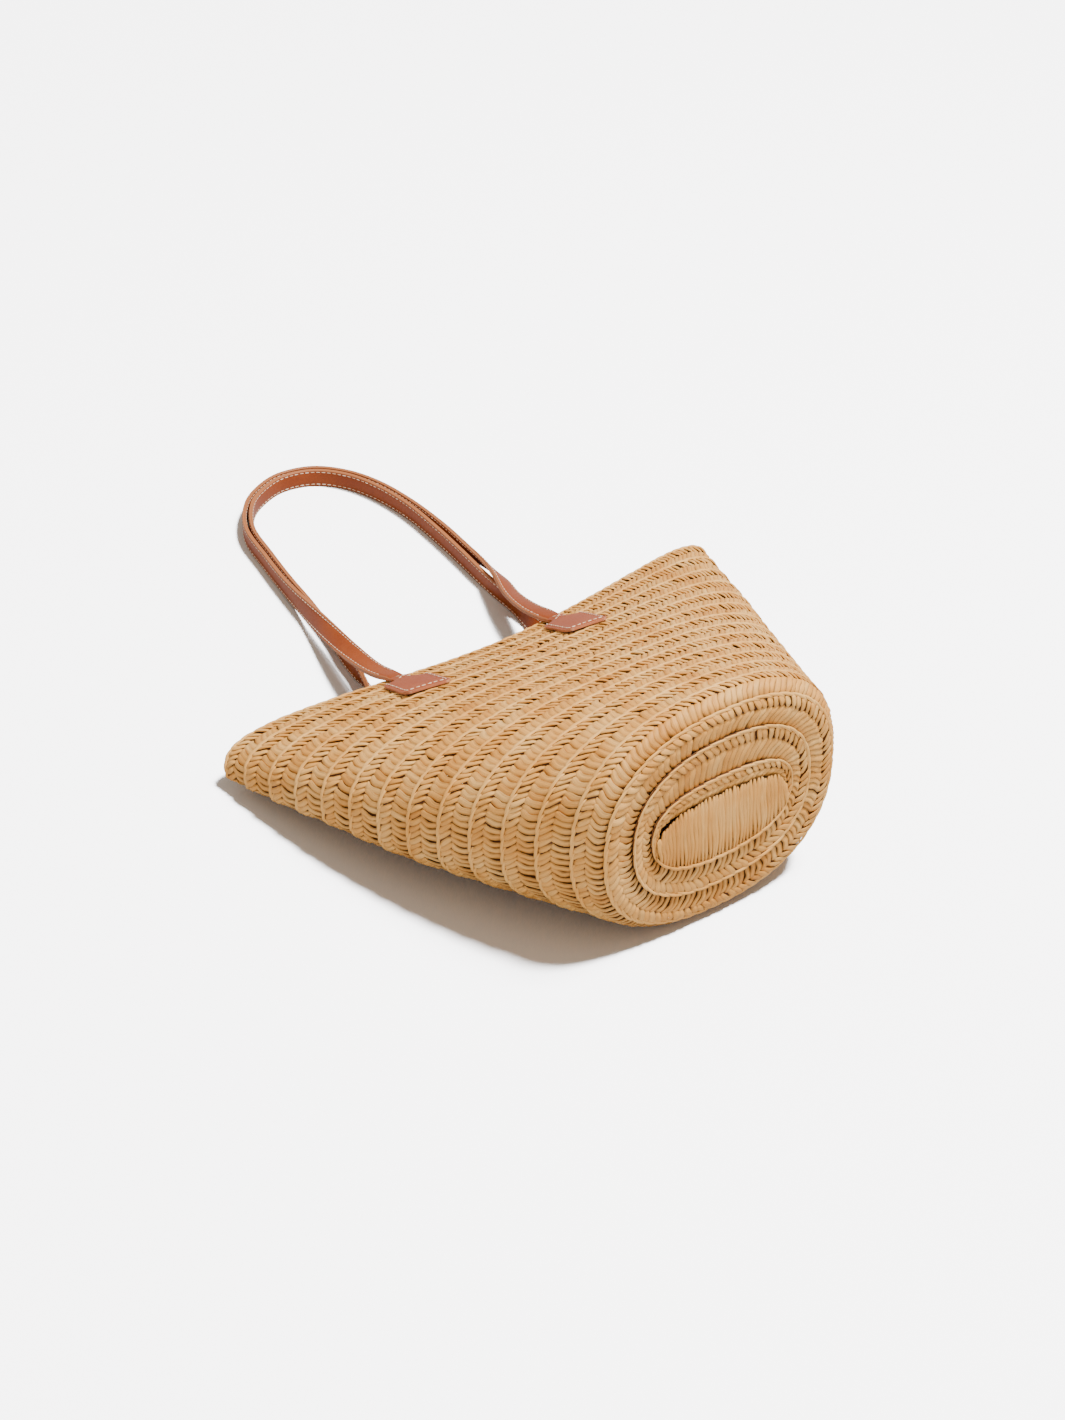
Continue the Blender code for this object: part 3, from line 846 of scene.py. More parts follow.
    def join(self, name: str, parts: list[RowPart], node: str) -> bpy.types.Object:
        """Make one piece of the parts of a row, with every part facing outwards."""
        start, slots, faces = 0, [], []
        for vertices, loose, _, _, finish in parts:
            turned = self.facing_out(vertices, loose)
            faces += [tuple(corner + start for corner in face) for face in turned]
            slots += finish
            start += len(vertices)
        piece = add_piece(name, np.concatenate([part[0] for part in parts]), faces,
                          [self.finishes.straw, self.finishes.inner], np.array(slots),
                          {"strand": np.concatenate([part[2] for part in parts]),
                           "depth": np.concatenate([part[3] for part in parts])})
        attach(piece, "bag")
        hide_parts(node)
        return piece

    @staticmethod
    def facing_out(vertices: np.ndarray, faces: Faces) -> Faces:
        """Turn the faces of closed forms round if the forms are inside out."""
        fan = np.array([(face[0], face[place], face[place + 1])
                        for face in faces for place in range(1, len(face) - 1)])
        first, second, third = (vertices[fan[:, place]] for place in range(3))
        volume = np.einsum("ij,ij->i", first, np.cross(second, third)).sum()
        return faces if volume > 0.0 else [tuple(reversed(face)) for face in faces]

    def centre_strip(self) -> bpy.types.Object:
        """Build the start of the spiral: long strands that cross the middle of the base."""
        form = self.form
        power = form.base_squareness
        top, bottom = 0.5 * form.pitch / MM, -1.5 * form.pitch / MM
        pitch, end = self.strip_pitch, form.end_length(1.5 * form.pitch) / MM
        cells = int(2.0 * (end - 2.5) / pitch)

        def reach(x: np.ndarray, edge: float) -> np.ndarray:
            """Height of the strip's edge at a place along it, both in millimetres."""
            half = form.end_length(edge * MM) / MM
            inside = np.clip(1.0 - np.abs(x / half) ** power, 0.0, 1.0)
            return edge * inside ** (1.0 / power)

        def on_base(x: np.ndarray, z: np.ndarray, rise: np.ndarray) -> np.ndarray:
            """Put a place on the base, in millimetres from its centre, in the world."""
            shift = np.array(form.shift)
            out = np.stack((x, -rise, z + form.base_half_width / MM), axis=-1)
            return out * MM + shift

        number, tiled, faces = self.copies(STRIP_STRAND, Blank.model(8, 14), cells)
        sway, tone, lift = (self.random.normal(0.0, 1.0, cells) for _ in range(3))
        x = (number - (cells - 1) / 2.0) * pitch + tiled[:, 0] + 0.3 * sway[number]
        x = x + 0.45 * np.sin(tiled[:, 1] * 1.3 + number * 0.9)
        share = np.clip(tiled[:, 1] / 7.0, 0.0, 1.0)
        ragged = 0.8 * np.sin(0.31 * x) + 0.5 * np.sin(0.83 * x + 1.0) + 0.3 * lift[number]
        high, low = reach(x, top + self.strip_cover) + ragged, reach(x, bottom - 3.0)
        z = high + (low - high) * share
        rise = tiled[:, 2] + 0.08 * lift[number]
        shade = np.clip(0.45 + 0.14 * tone, 0.0, 1.0)
        strand = np.column_stack((tiled[:, 1] * 6.0, tiled[:, 4], shade[number]))
        # depth drives the straw's painted shade: low parts of the strip's strands come out dark
        depth = smooth((rise + 0.25) / 1.30)
        parts = [(on_base(x, z, rise), faces, strand, depth, [0] * len(faces))]
        parts.append(self.strip_edge(reach, on_base, bottom - 2.4))
        parts.append(self.strip_backing(reach, on_base, top, bottom))
        return self.join("straw_base_center_strip", parts, "base_center_strip")

    def strip_edge(self, reach: EdgeLine, on_base: Placer, edge: float) -> RowPart:
        """Lay edge folds along one long edge of the centre strip."""
        half = self.form.end_length(edge * MM) / MM - 3.0
        pitch = 2.0 * self.strand_pitch
        cells = int(2.0 * half / pitch)
        number, tiled, faces = self.copies(STRIP_FOLD, Blank.model(8, 6), cells)
        tone = self.random.normal(0.0, 1.0, cells)
        x = (number - cells / 2.0) * pitch + tiled[:, 0]
        x = np.clip(x, -half, half)
        z = reach(x, edge) + math.copysign(1.0, edge) * tiled[:, 1] + 0.2 * tone[number]
        shade = np.clip(0.6 + 0.2 * tone, 0.0, 1.0)
        strand = np.column_stack((tiled[:, 3], tiled[:, 4], shade[number]))
        # depth drives the straw's painted shade: low parts of the folds come out dark
        depth = smooth((tiled[:, 2] + 0.8) / 1.5)
        return on_base(x, z, tiled[:, 2]), faces, strand, depth, [0] * len(faces)

    def strip_backing(self, reach: EdgeLine, on_base: Placer, top: float, bottom: float
                      ) -> RowPart:
        """Lay the thin oval plate that backs the centre strip."""
        columns = 48
        half = self.form.end_length(0.5 * self.form.pitch) / MM
        x = half * np.cos(np.linspace(0.0, 2.0 * math.pi, columns, endpoint=False))
        upper = np.arange(columns) < columns // 2
        z = np.where(upper, reach(x, top), reach(x, bottom))
        rings = [on_base(x * grow, z * grow, np.full(columns, rise))
                 for grow, rise in ((0.97, -2.2), (1.0, -1.6), (0.97, -0.6))]
        vertices = np.concatenate(rings)
        faces = []
        for ring in range(2):
            for column in range(columns):
                after = (column + 1) % columns
                faces.append((ring * columns + column, ring * columns + after,
                              (ring + 1) * columns + after, (ring + 1) * columns + column))
        faces.append(tuple(range(2 * columns, 3 * columns)))
        faces.append(tuple(reversed(range(columns))))
        # depth 0 everywhere: the straw material paints this plate as shade, seen between the
        # strip's strands
        strand = np.column_stack((np.tile(x, 3), np.tile(z, 3), np.zeros(3 * columns)))
        return vertices, faces, strand, np.zeros(3 * columns), [0] * len(faces)


# ---------------------------------------------------------------- leather and thread

@dataclass(frozen=True)
class Stitcher:
    """Lays separate stitches along a line."""

    form_length: float = 0.0031
    gap: float = 0.0012
    radius: float = 0.00042
    sink: float = 0.25            # part of the radius that is pulled into the leather

    def sew(self, name: str, lines: list[tuple[np.ndarray, np.ndarray]],
            material: bpy.types.Material) -> bpy.types.Object:
        """Sew along lines.

        Args:
            name: The piece's name.
            lines: For each line, its places and the leather's outward normals there.
            material: The thread.

        Returns:
            One piece that holds every stitch.
        """
        deselect_all()
        bpy.ops.mesh.primitive_uv_sphere_add(segments=6, ring_count=5, radius=1.0)
        bead = bpy.context.object
        corners = np.array([vertex.co[:] for vertex in bead.data.vertices])
        loose = [tuple(face.vertices) for face in bead.data.polygons]
        bpy.data.objects.remove(bead, do_unlink=True)
        corners[:, 2] = np.sign(corners[:, 2]) * np.abs(corners[:, 2]) ** 0.55
        vertices, faces = [], []
        for places, normals in lines:
            for centre, heading, outward in self.stations(places, normals):
                across = np.cross(outward, heading)
                lift = outward * self.radius * (1.0 - self.sink)
                start = len(vertices) * len(corners)
                vertices.append(centre + lift + heading * (corners[:, 2:] * self.form_length / 2.0)
                                + across * (corners[:, :1] * self.radius)
                                + outward * (corners[:, 1:2] * self.radius))
                faces += [tuple(corner + start for corner in face) for face in loose]
        places = np.concatenate(vertices)
        return add_piece(name, places, StrawShell.facing_out(places, faces), [material])

    def stations(self, places: np.ndarray, normals: np.ndarray
                 ) -> list[tuple[np.ndarray, np.ndarray, np.ndarray]]:
        """Find the middle, heading and outward direction of each stitch of a line."""
        steps = np.linalg.norm(np.diff(places, axis=0), axis=1)
        run = np.concatenate(([0.0], np.cumsum(steps)))
        count = max(1, int(run[-1] / (self.form_length + self.gap)))
        middles = (np.arange(count) + 0.5) * run[-1] / count

        def read(values: np.ndarray, at: np.ndarray) -> np.ndarray:
            """Read values along the line."""
            return np.stack([np.interp(at, run, values[:, axis]) for axis in range(3)], 1)

        reach = self.form_length / 2.0
        heading = read(places, middles + reach) - read(places, middles - reach)
        heading /= np.linalg.norm(heading, axis=1, keepdims=True)
        outward = read(normals, middles)
        outward -= heading * np.einsum("ij,ij->i", outward, heading)[:, None]
        outward /= np.linalg.norm(outward, axis=1, keepdims=True)
        return list(zip(read(places, middles), heading, outward))


@dataclass
class LeatherTabs:
    """Four tabs sewn outside the rim, their backing patches inside, and their thread."""

    form: ShellForm
    finishes: Finishes
    handle_centre: float = -0.0241
    handle_half_spacing: float = 0.073
    neck_row: float = 16.0
    tab_clearance: float = 0.0024
    tab_rows: float = 2.35
    neck_part: float = 0.27       # part of the tab's length that is its neck
    neck_hold: float = 0.55       # part of the neck that stays narrow
    neck_pinch: float = 0.22      # how much the neck draws in, and where and over what part of it
    pinch_middle: float = 0.4
    pinch_spread: float = 0.22
    corner_part: float = 0.12     # part of the tab's length over which its far end rounds off
    far_end: float = 0.74         # what is left of its width there
    lean: float = 0.26            # radians that the tab leans to -X, in line with its strap
    neck_width: float = 0.0128
    width: float = 0.034
    thickness: float = 0.0019
    seat: float = 0.0007          # the tab's underside over the shell's surface
    crown: float = 0.0011         # how much it arches over the strap's end
    neck_rise: float = 0.0016
    end_curl: float = 0.0007      # how much its far end lifts
    edge_round: float = 0.0005
    stitch_inset: float = 0.0026
    stitch_span: tuple[float, float] = (0.24, 0.95)     # the sewn line's ends along the tab
    cross_middle: float = 0.115   # where the two crossing stitch lines meet on the neck
    cross_reach: float = 0.075
    patch_scale: float = 0.86
    patch_depth: float = 0.0071   # under the shell's outer surface
    patch_thickness: float = 0.0012

    def build(self) -> list[bpy.types.Object]:
        """Build the tabs, patches and stitching of both panels."""
        pieces = []
        for side in Side:
            for end in End:
                pieces += self.tab_set(side, end)
        return pieces

    def half_width(self, share: np.ndarray) -> np.ndarray:
        """Half width of a tab from its neck at share 0 to its rounded far end at share 1."""
        neck, full = self.neck_width / 2.0, self.width / 2.0
        along = (share / self.neck_part - self.neck_hold) / (1.0 - self.neck_hold)
        off_middle = (share / self.neck_part - self.pinch_middle) / self.pinch_spread
        pinch = 1.0 - self.neck_pinch * np.exp(-off_middle ** 2)
        widened = (neck + (full - neck) * smooth(along)) * pinch
        corner = np.clip((share - (1.0 - self.corner_part)) / self.corner_part, 0.0, 1.0)
        return widened * (self.far_end + (1.0 - self.far_end) * np.sqrt(1.0 - corner ** 2))

    def place(self, side: Side, end: End, share: np.ndarray, across: np.ndarray,
              height: np.ndarray, scale: float = 1.0) -> tuple[np.ndarray, np.ndarray]:
        """Find points over a tab.

        Args:
            side: The tab's panel.
            end: The tab's end of the strap.
            share: Places along the tab, 0 at its neck.
            across: Places across it, from -1 to 1.
            height: Metres over the shell.
            scale: Makes the outline smaller about its middle.

        Returns:
            World places and outward normals.
        """
        centre = self.handle_centre + end.value * self.handle_half_spacing
        along = (0.5 + (share - 0.5) * scale) * self.tab_rows * self.form.pitch
        out = across * self.half_width(share) * scale
        back = self.tab_clearance + along * math.cos(self.lean) + out * math.sin(self.lean)
        row = self.neck_row - back / self.form.pitch
        x = centre + out * math.cos(self.lean) - along * math.sin(self.lean)
        angle = self.form.angle_at(row, x, side)
        return self.form.over(row, angle, height), self.form.normal(row, angle)

    def lift(self, share: np.ndarray, across: np.ndarray) -> np.ndarray:
        """Height of a tab's underside: arched over the strap's end, soft in the middle."""
        crown = self.crown * (1.0 - np.abs(across) ** 2.5) * smooth(share / 0.2)
        crown = crown * smooth((1.0 - share) / 0.12)
        neck = self.neck_rise * (1.0 - smooth(share / 0.24)) * (1.0 - 0.6 * across ** 2)
        curl = self.end_curl * smooth((share - 0.8) / 0.2)
        return self.seat + crown + neck + curl

    def tab_set(self, side: Side, end: End) -> list[bpy.types.Object]:
        """Build one tab with its patch and stitching."""
        name = f"{side.value}_{end.name.lower()}"
        tab = self.sheet(f"leather_{name}_tab", side, end, 1.0)
        patch = self.sheet(f"leather_{name}_backing", side, end, self.patch_scale)
        stitching = self.stitching(f"thread_{name}_tab", side, end)
        for piece, node, slot in ((tab, f"{name}_tab", "tab_leather"),
                                  (patch, f"{name}_backing", "tab_leather"),
                                  (stitching, f"{name}_tab_stitching", "thread")):
            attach(piece, "bag")
            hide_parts(node)
        return [tab, patch, stitching]

    def sheet(self, name: str, side: Side, end: End, scale: float) -> bpy.types.Object:
        """Model a rounded leather sheet on the shell, outside it at scale 1 and inside if less."""
        columns, lines = 16, 30
        deselect_all()
        bpy.ops.mesh.primitive_grid_add(x_subdivisions=columns, y_subdivisions=lines, size=2.0)
        sheet = bpy.context.object
        sheet.name = sheet.data.name = name
        flat = np.array([vertex.co[:] for vertex in sheet.data.vertices])
        across = np.sin(flat[:, 0] * math.pi / 2.0)
        share = (1.0 - np.cos((flat[:, 1] + 1.0) * math.pi / 2.0)) / 2.0
        outside = scale == 1.0
        height = self.lift(share, across) if outside else np.full(len(share), -self.patch_depth)
        places = self.place(side, end, share, across, height, scale)[0]
        sheet.data.vertices.foreach_set("co", places.ravel())
        bpy.ops.object.mode_set(mode="EDIT")
        bpy.ops.mesh.select_all(action="SELECT")
        bpy.ops.mesh.remove_doubles(threshold=0.00001)
        if side is Side.FRONT:
            bpy.ops.mesh.flip_normals()
        bpy.ops.object.mode_set(mode="OBJECT")
        solid = sheet.modifiers.new("thickness", "SOLIDIFY")
        solid.thickness = self.thickness if outside else self.patch_thickness
        solid.offset = 1.0
        bevel = sheet.modifiers.new("rounded_edge", "BEVEL")
        bevel.width, bevel.segments, bevel.limit_method = self.edge_round, 3, "ANGLE"
        bevel.angle_limit = math.radians(60.0)
        for modifier in ("thickness", "rounded_edge"):
            bpy.ops.object.modifier_apply(modifier=modifier)
        self.mark_edges(sheet)
        sheet.data.materials.append(self.finishes.tab)
        sheet.data.shade_smooth()
        return sheet

    @staticmethod
    def mark_edges(sheet: bpy.types.Object) -> None:
        """Store how far each vertex turns away from the sheet's faces, for the leather's edge."""
        mesh = sheet.data
        count = np.zeros(len(mesh.vertices))
        total = np.zeros((len(mesh.vertices), 3))
        for face in mesh.polygons:
            for corner in face.vertices:
                total[corner] += face.normal[:]
                count[corner] += 1.0
        mean = np.linalg.norm(total / np.maximum(count, 1.0)[:, None], axis=1)
        # these edge values paint the tab's rounded edges paler, partly as a painted highlight
        flat, gain = 0.999, 40.0
        edge = np.clip((flat - mean) * gain, 0.0, 1.0)
        store = mesh.attributes.new("edge", "FLOAT", "POINT")
        store.data.foreach_set("value", edge.astype(np.float32))

    def stitching(self, name: str, side: Side, end: End) -> bpy.types.Object:
        """Sew round the tab and crosswise over its neck."""
        start, end_share = self.stitch_span
        turn = np.linspace(0.0, 1.0, 60)
        side_share = start + (end_share - start) * turn
        edge = np.concatenate((np.ones(60), np.cos(turn * math.pi), -np.ones(60)))
        share = np.concatenate((side_share, np.full(60, end_share), side_share[::-1]))
        inset = 1.0 - self.stitch_inset / np.maximum(self.half_width(share), 0.004)
        lines = [(share, edge * inset)]
        slant = np.linspace(-1.0, 1.0, 20)
        lines += [(self.cross_middle + self.cross_reach * slant, 0.6 * slant * way)
                  for way in (-1.0, 1.0)]
        sewn = []
        for shares, across in lines:
            height = self.lift(shares, across) + self.thickness
            sewn.append(self.place(side, end, shares, across, height))
        return Stitcher().sew(name, sewn, self.finishes.thread)


@dataclass(frozen=True)
class StrapRoute:
    """Centre line of a strap between its necks, in the shell's own axes before its shift."""

    side: Side
    knots: tuple[tuple[float, float, float], ...]
    twist_start: float            # metres beyond the neck
    twist_length: float


FRONT_ROUTE = StrapRoute(Side.FRONT, (
    (-0.048, 0.342, 0.0375), (-0.041, 0.384, 0.0280), (-0.032, 0.428, 0.0200),
    (-0.023, 0.472, 0.0135), (-0.0145, 0.516, 0.0092), (-0.0055, 0.560, 0.0079),
    (0.0050, 0.6055, 0.0079), (0.0265, 0.6395, 0.0079), (0.0525, 0.6580, 0.0079),
    (0.0770, 0.6642, 0.0079), (0.1035, 0.6565, 0.0079), (0.1230, 0.6335, 0.0079),
    (0.1340, 0.6010, 0.0079), (0.1378, 0.5600, 0.0079), (0.1362, 0.5150, 0.0086),
    (0.1332, 0.4780, 0.0096), (0.1295, 0.4460, 0.0124), (0.1195, 0.4140, 0.0197),
    (0.1080, 0.3830, 0.0245), (0.0990, 0.3480, 0.0330)), 0.012, 0.21)
BACK_ROUTE = StrapRoute(Side.BACK, (
    (-0.0475, 0.303, 0.0), (-0.0440, 0.336, 0.0), (-0.0385, 0.370, 0.0), (-0.0320, 0.405, 0.0),
    (-0.0225, 0.442, 0.0), (-0.0145, 0.480, 0.0), (-0.008, 0.520, 0.0), (0.0000, 0.560, 0.0),
    (0.0100, 0.603, 0.0), (0.0300, 0.636, 0.0), (0.0540, 0.653, 0.0), (0.0770, 0.659, 0.0),
    (0.1010, 0.652, 0.0), (0.1190, 0.631, 0.0), (0.1290, 0.600, 0.0), (0.1325, 0.560, 0.0),
    (0.1295, 0.515, 0.0), (0.1248, 0.475, 0.0), (0.1188, 0.430, 0.0), (0.1150, 0.385, 0.0),
    (0.1085, 0.340, 0.0), (0.1015, 0.306, 0.0)), 0.034, 0.08)


@dataclass
class StrapHandles:
    """Two long straps, each two leather plies sewn along both edges."""

    form: ShellForm
    finishes: Finishes
    tabs: LeatherTabs
    width: float = 0.015
    ply: float = 0.0015
    gap: float = 0.0003
    thread_stand: float = 0.0013  # room that the CAD keeps under a strap for its thread
    stitch_inset: float = 0.0019
    channel: float = 0.00030      # depth of the groove that a stitch line pulls in
    steps: int = 11
    tongue: tuple[tuple[float, float], ...] = ((0.010, 0.0006), (0.005, 0.0011))
    hold_length: float = 0.03     # over which the strap stays square to the shell
    neck_share: float = 0.80      # part of its width that it has at its neck
    neck_taper: float = 0.016
    end_share: float = 0.32       # part of its thickness that it has under the tab
    end_taper: float = 0.012
    flex_start: float = -0.003    # the neck flexes from here, in metres past its axis, to here
    flex_end: float = 0.009
    stitch_start: float = 0.012   # metres past the neck where its stitching starts

    def build(self) -> list[bpy.types.Object]:
        """Build both straps and their stitching."""
        pieces = []
        for route in (FRONT_ROUTE, BACK_ROUTE):
            pieces += self.strap(route)
        return pieces

    def neck(self, side: Side, end: End, back: float = 0.0, height: float = 0.00195
             ) -> np.ndarray:
        """Point over the rim row where a strap turns, or further back towards the base."""
        centre = self.tabs.handle_centre + end.value * self.tabs.handle_half_spacing
        row = self.tabs.neck_row - back / self.form.pitch
        return self.form.over(row, self.form.angle_at(row, centre, side), height)

    @staticmethod
    def twist(route: StrapRoute, past: np.ndarray) -> np.ndarray:
        """Radians that the strap has turned from lying flat, by metres past its necks."""
        return math.pi / 2.0 * smooth((past - route.twist_start) / route.twist_length)

    def centre_line(self, route: StrapRoute) -> tuple[np.ndarray, np.ndarray]:
        """Lay out a strap.

        Args:
            route: The strap's route.

        Returns:
            Places along its centre line and how far it is from each to the nearer neck.
        """
        side = route.side
        neck_y = float((self.neck(side, End.LEFT)[1] + self.neck(side, End.RIGHT)[1]) / 2.0)
        knots = np.array(route.knots) + np.array(self.form.shift)
        if side is Side.BACK:
            twist = self.twist(route, knots[:, 1] - neck_y)
            flat = self.gap / 2.0 + self.ply + self.thread_stand
            knots[:, 2] = self.gap + self.width / 2.0 * np.sin(twist) + flat * np.cos(twist)
        tongues = [[*(self.neck(side, end, back, height) for back, height in self.tongue),
                    self.neck(side, end)] for end in End]
        knots = np.array([*tongues[0], *knots, *tongues[1][::-1]])
        share = np.linspace(0.0, 1.0, (len(knots) - 1) * self.steps + 1)
        line = np.stack([through(list(knots[:, axis]), share) for axis in range(3)], 1)
        return line, line[:, 1] - neck_y

    def frames(self, route: StrapRoute) -> tuple[np.ndarray, ...]:
        """Work out a strap's places, width and outward directions, and metres past its necks."""
        line, past = self.centre_line(route)
        heading = np.gradient(line, axis=0)
        heading /= np.linalg.norm(heading, axis=1, keepdims=True)
        sign = 1.0 if route.side is Side.FRONT else -1.0
        twist = self.twist(route, past)
        outward = np.cross([0.0, 0.0, 1.0], heading)
        outward /= np.linalg.norm(outward, axis=1, keepdims=True)
        up = np.array([0.0, 0.0, sign])
        face = up * np.cos(twist)[:, None] + outward * np.sin(twist)[:, None]
        centres = [self.tabs.handle_centre + end.value * self.tabs.handle_half_spacing
                   for end in End]
        for centre, near in zip(centres, (np.arange(len(line)) < len(line) / 2,
                                          np.arange(len(line)) >= len(line) / 2)):
            angle = self.form.angle_at(self.tabs.neck_row, centre, route.side)
            seat = self.form.normal(np.float64(self.tabs.neck_row), angle)
            hold = (1.0 - smooth((past - 0.002) / self.hold_length))[:, None] * near[:, None]
            face = face * (1.0 - hold) + seat * hold
        face -= heading * np.einsum("ij,ij->i", face, heading)[:, None]
        face /= np.linalg.norm(face, axis=1, keepdims=True)
        return line, np.cross(face, heading), face, past

    def section(self) -> tuple[np.ndarray, np.ndarray]:
        """Outline of the strap: two plies, rounded edges and a channel under each stitch line.

        Returns:
            Places across and through the strap in metres, and how much each belongs to the edge.
        """
        half, thick = self.width / 2.0, self.ply + self.gap / 2.0
        line = half - self.stitch_inset
        # edge marks 0.8 and 1.0 paint the strap's rounded edges paler, partly as a painted
        # highlight
        face = [(-half + 0.0004, thick - 0.00008, 0.8), (-line - 0.0006, thick, 0.0),
                (-line, thick - self.channel, 0.0), (-line + 0.0006, thick, 0.0),
                (-half * 0.4, thick + 0.00012, 0.0), (0.0, thick + 0.00016, 0.0),
                (half * 0.4, thick + 0.00012, 0.0), (line - 0.0006, thick, 0.0),
                (line, thick - self.channel, 0.0), (line + 0.0006, thick, 0.0),
                (half - 0.0004, thick - 0.00008, 0.8)]
        edge = [(half - 0.0001, thick - 0.0004, 1.0), (half, thick * 0.5, 1.0),
                (half - 0.0001, 0.00022, 1.0), (half - 0.0004, 0.0, 1.0)]
        upper = face + edge
        lower = [(-across, -through_it, mark) for across, through_it, mark in upper]
        outline = np.array(upper + [(half - 0.0001, -0.00022, 1.0), (half, -thick * 0.5, 1.0),
                                    (half - 0.0001, -thick + 0.0004, 1.0)]
                           + lower + [(-half + 0.0001, 0.00022, 1.0), (-half, thick * 0.5, 1.0),
                                      (-half + 0.0001, thick - 0.0004, 1.0)])
        return outline[:, :2], outline[:, 2]

    def strap(self, route: StrapRoute) -> list[bpy.types.Object]:
        """Build one strap and its stitching."""
        side = route.side
        line, width, face, past = self.frames(route)
        outline, edge = self.section()
        corners, stations = len(outline), len(line)
        widening = smooth((past - 0.001) / self.neck_taper)
        pinch = self.neck_share + (1.0 - self.neck_share) * widening
        thickening = smooth((past + 0.006) / self.end_taper)
        thin = self.end_share + (1.0 - self.end_share) * thickening
        vertices = (line[:, None] + width[:, None] * (outline[:, 0] * pinch[:, None])[..., None]
                    + face[:, None] * (outline[:, 1] * thin[:, None])[..., None])
        vertices = vertices.reshape(-1, 3)
        faces = [tuple(range(corners)), tuple((stations - 1) * corners + corner
                                              for corner in reversed(range(corners)))]
        for station in range(stations - 1):
            here, there = station * corners, (station + 1) * corners
            for corner in range(corners):
                after = (corner + 1) % corners
                faces.append((here + after, here + corner, there + corner, there + after))
        strap = add_piece(f"leather_{side.value}_handle", vertices,
                          StrawShell.facing_out(vertices, faces), [self.finishes.strap],
                          attributes={"edge": np.tile(edge, stations)})
        body = f"{side.value}_handle"
        middle = (self.neck(side, End.LEFT) + self.neck(side, End.RIGHT)) / 2.0
        axis = self.neck(side, End.RIGHT) - self.neck(side, End.LEFT)
        away = np.array([-axis[1], axis[0], 0.0]) / np.linalg.norm(axis[:2])
        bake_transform(strap)
        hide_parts(f"{body}_outer_ply", f"{body}_inner_ply")
        stitching = self.stitching(f"thread_{side.value}_handle", line, width, face, past)
        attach(stitching, body)
        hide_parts(f"{body}_stitching")
        return [strap, stitching]

    def stitching(self, name: str, line: np.ndarray, width: np.ndarray, face: np.ndarray,
                  past: np.ndarray) -> bpy.types.Object:
        """Sew both edges of a strap, seen on both of its faces."""
        held = past > self.stitch_start
        reach = self.width / 2.0 - self.stitch_inset
        top = self.ply + self.gap / 2.0 - self.channel
        runs = []
        for edge in (-1.0, 1.0):
            for front in (-1.0, 1.0):
                places = line + width * (edge * reach) + face * (front * top)
                runs.append((places[held], (face * front)[held]))
        return Stitcher(form_length=0.0034, gap=0.0012, radius=0.00038).sew(
            name, runs, self.finishes.thread)


# ---------------------------------------------------------------- studio

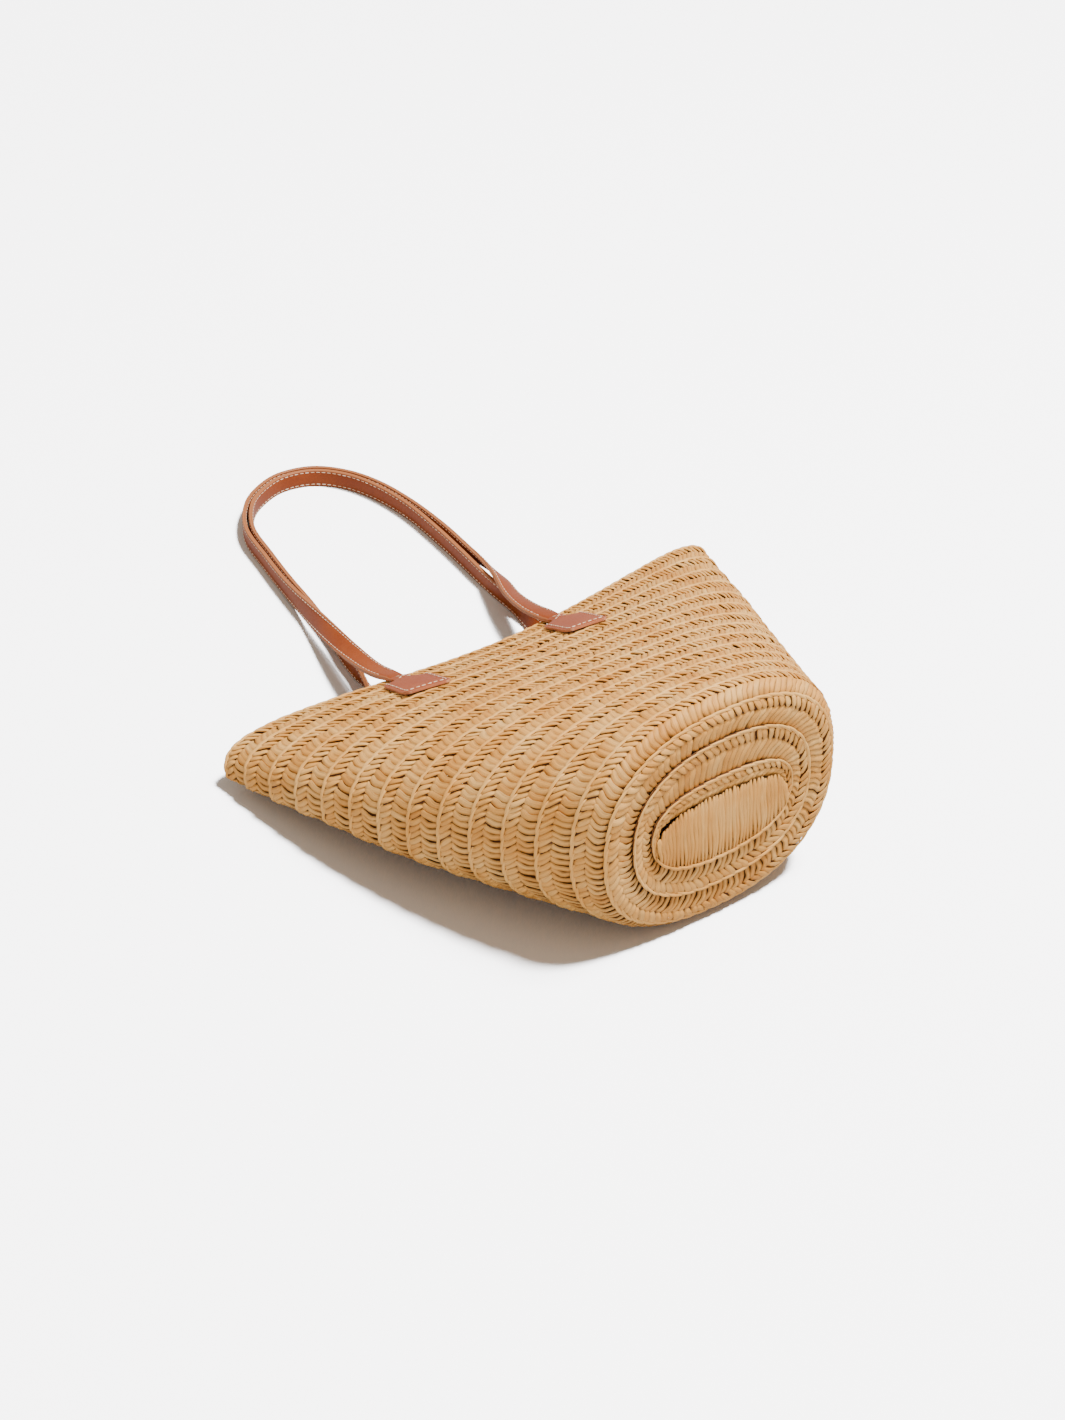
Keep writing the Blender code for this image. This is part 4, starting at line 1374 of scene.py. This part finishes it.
@dataclass(frozen=True)
class Studio:
    """Pale seamless floor, soft light from above on the right, and the camera."""

    camera_place: tuple[float, float, float] = (-1.0991, -1.5346, 1.2460)
    camera_target: tuple[float, float, float] = (-0.0274, -0.0960, 0.0307)
    view_height: float = math.radians(26.78)
    floor_size: float = 16.0
    floor_flat: float = 5.0           # metres from the middle where it starts to curve up
    floor_curve: float = 0.12
    floor_tone: str = "#f1f1f3"
    floor_bounce: str = "#6f6e6d"     # how dark the floor is to the light that it sends back up
    key_place: tuple[float, float, float] = (0.80, -0.68, 2.6)
    key_size: float = 0.7
    key_power: float = 150.0
    fill_place: tuple[float, float, float] = (-1.3, -2.0, 1.9)
    fill_size: float = 2.0
    fill_power: float = 45.0
    wash_width: float = 0.14          # radians; it lights the floor alone, from the key's side
    wash_power: float = 18.0
    light_target: tuple[float, float, float] = (0.0, -0.1, 0.05)
    sky_tone: str = "#ffead2"
    sky_strength: float = 0.55

    def build(self) -> None:
        """Set out the floor, the lights and the camera."""
        floor = self.floor()
        self.light("key_softbox", self.key_place, self.key_size, self.key_power)
        fill = self.light("fill_softbox", self.fill_place, self.fill_size, self.fill_power)
        self.link("all_but_the_floor", fill, floor, "EXCLUDE")
        wash = self.light("floor_wash", self.key_place, self.wash_width, self.wash_power, "SUN")
        self.link("floor_only", wash, floor, "INCLUDE")
        world = bpy.data.worlds.new("studio_walls")
        world.use_nodes = True
        shade = world.node_tree.nodes["Background"]
        shade.inputs["Color"].default_value = colour(self.sky_tone)
        shade.inputs["Strength"].default_value = self.sky_strength
        bpy.context.scene.world = world
        self.camera()

    def floor(self) -> bpy.types.Object:
        """Lay the floor: a wide sheet of matt paper, curved up far behind the bag."""
        deselect_all()
        bpy.ops.mesh.primitive_grid_add(x_subdivisions=24, y_subdivisions=24,
                                        size=self.floor_size)
        sheet = bpy.context.object
        sheet.name = "studio_floor"
        for vertex in sheet.data.vertices:
            far = max(0.0, math.hypot(vertex.co.x, vertex.co.y) - self.floor_flat)
            vertex.co.z = self.floor_curve * far * far
        sheet.data.shade_smooth()
        material, tree, shader = new_material("matt_paper_floor")
        place = add_node(tree, "ShaderNodeTexCoord")
        tooth = add_node(tree, "ShaderNodeTexNoise", {"Scale": 900.0, "Detail": 2.0},
                         {"Vector": place.outputs["Object"]})
        bump = add_node(tree, "ShaderNodeBump", {"Strength": 0.05, "Distance": 0.0002},
                        {"Height": tooth.outputs["Fac"]})
        tree.links.new(bump.outputs[0], shader.inputs["Normal"])
        path = add_node(tree, "ShaderNodeLightPath")
        tone = add_node(tree, "ShaderNodeMix", {"data_type": "RGBA",
                                                6: colour(self.floor_bounce),
                                                7: colour(self.floor_tone)},
                        {0: path.outputs["Is Camera Ray"]})
        tree.links.new(tone.outputs[2], shader.inputs["Base Color"])
        shader.inputs["Roughness"].default_value = 0.9
        shader.inputs["Specular IOR Level"].default_value = 0.1
        sheet.data.materials.append(material)
        return sheet

    def light(self, name: str, place: tuple[float, float, float], size: float,
              power: float, kind: str = "AREA") -> bpy.types.Object:
        """Hang one light that faces the bag.

        Args:
            name: The light's name.
            place: Where it hangs.
            size: A softbox's side in metres, or a sun's width in radians.
            power: Watts, or a sun's strength.
            kind: The light's type.

        Returns:
            The light.
        """
        lamp = bpy.data.lights.new(name, kind)
        lamp.energy = power
        if kind == "SUN":
            lamp.angle = size
        else:
            lamp.size = size
        hung = bpy.data.objects.new(name, lamp)
        hung.location = place
        aim = Vector(self.light_target) - Vector(place)
        hung.rotation_euler = aim.to_track_quat("-Z", "Y").to_euler()
        bpy.context.scene.collection.objects.link(hung)
        return hung

    @staticmethod
    def link(name: str, lamp: bpy.types.Object, floor: bpy.types.Object, state: str) -> None:
        """Make a light fall only on the floor, or on everything but the floor."""
        group = bpy.data.collections.new(name)
        group.objects.link(floor)
        group.collection_objects[0].light_linking.link_state = state
        lamp.light_linking.receiver_collection = group

    def camera(self) -> None:
        """Set up the camera."""
        lens = bpy.data.cameras.new("studio_camera")
        lens.sensor_fit = "VERTICAL"
        lens.sensor_height = 24.0
        lens.lens = lens.sensor_height / 2.0 / math.tan(self.view_height / 2.0)
        lens.clip_start, lens.clip_end = 0.05, 60.0
        stand = bpy.data.objects.new("studio_camera", lens)
        stand.location = self.camera_place
        aim = Vector(self.camera_target) - Vector(self.camera_place)
        stand.rotation_euler = aim.to_track_quat("-Z", "Y").to_euler()
        bpy.context.scene.collection.objects.link(stand)
        bpy.context.scene.camera = stand


def main() -> None:
    """Build every piece of the bag, then the studio."""
    logging.basicConfig(level=logging.INFO, format="%(message)s")
    form = ShellForm()
    finishes = Finishes.make()
    tabs = LeatherTabs(form, finishes)
    for assembly in (StrawShell(form, finishes), tabs, StrapHandles(form, finishes, tabs)):
        for piece in assembly.build():
            LOG.info("%s: %d faces", piece.name, len(piece.data.polygons))
    Studio().build()
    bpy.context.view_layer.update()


if __name__ == "__main__":
    main()
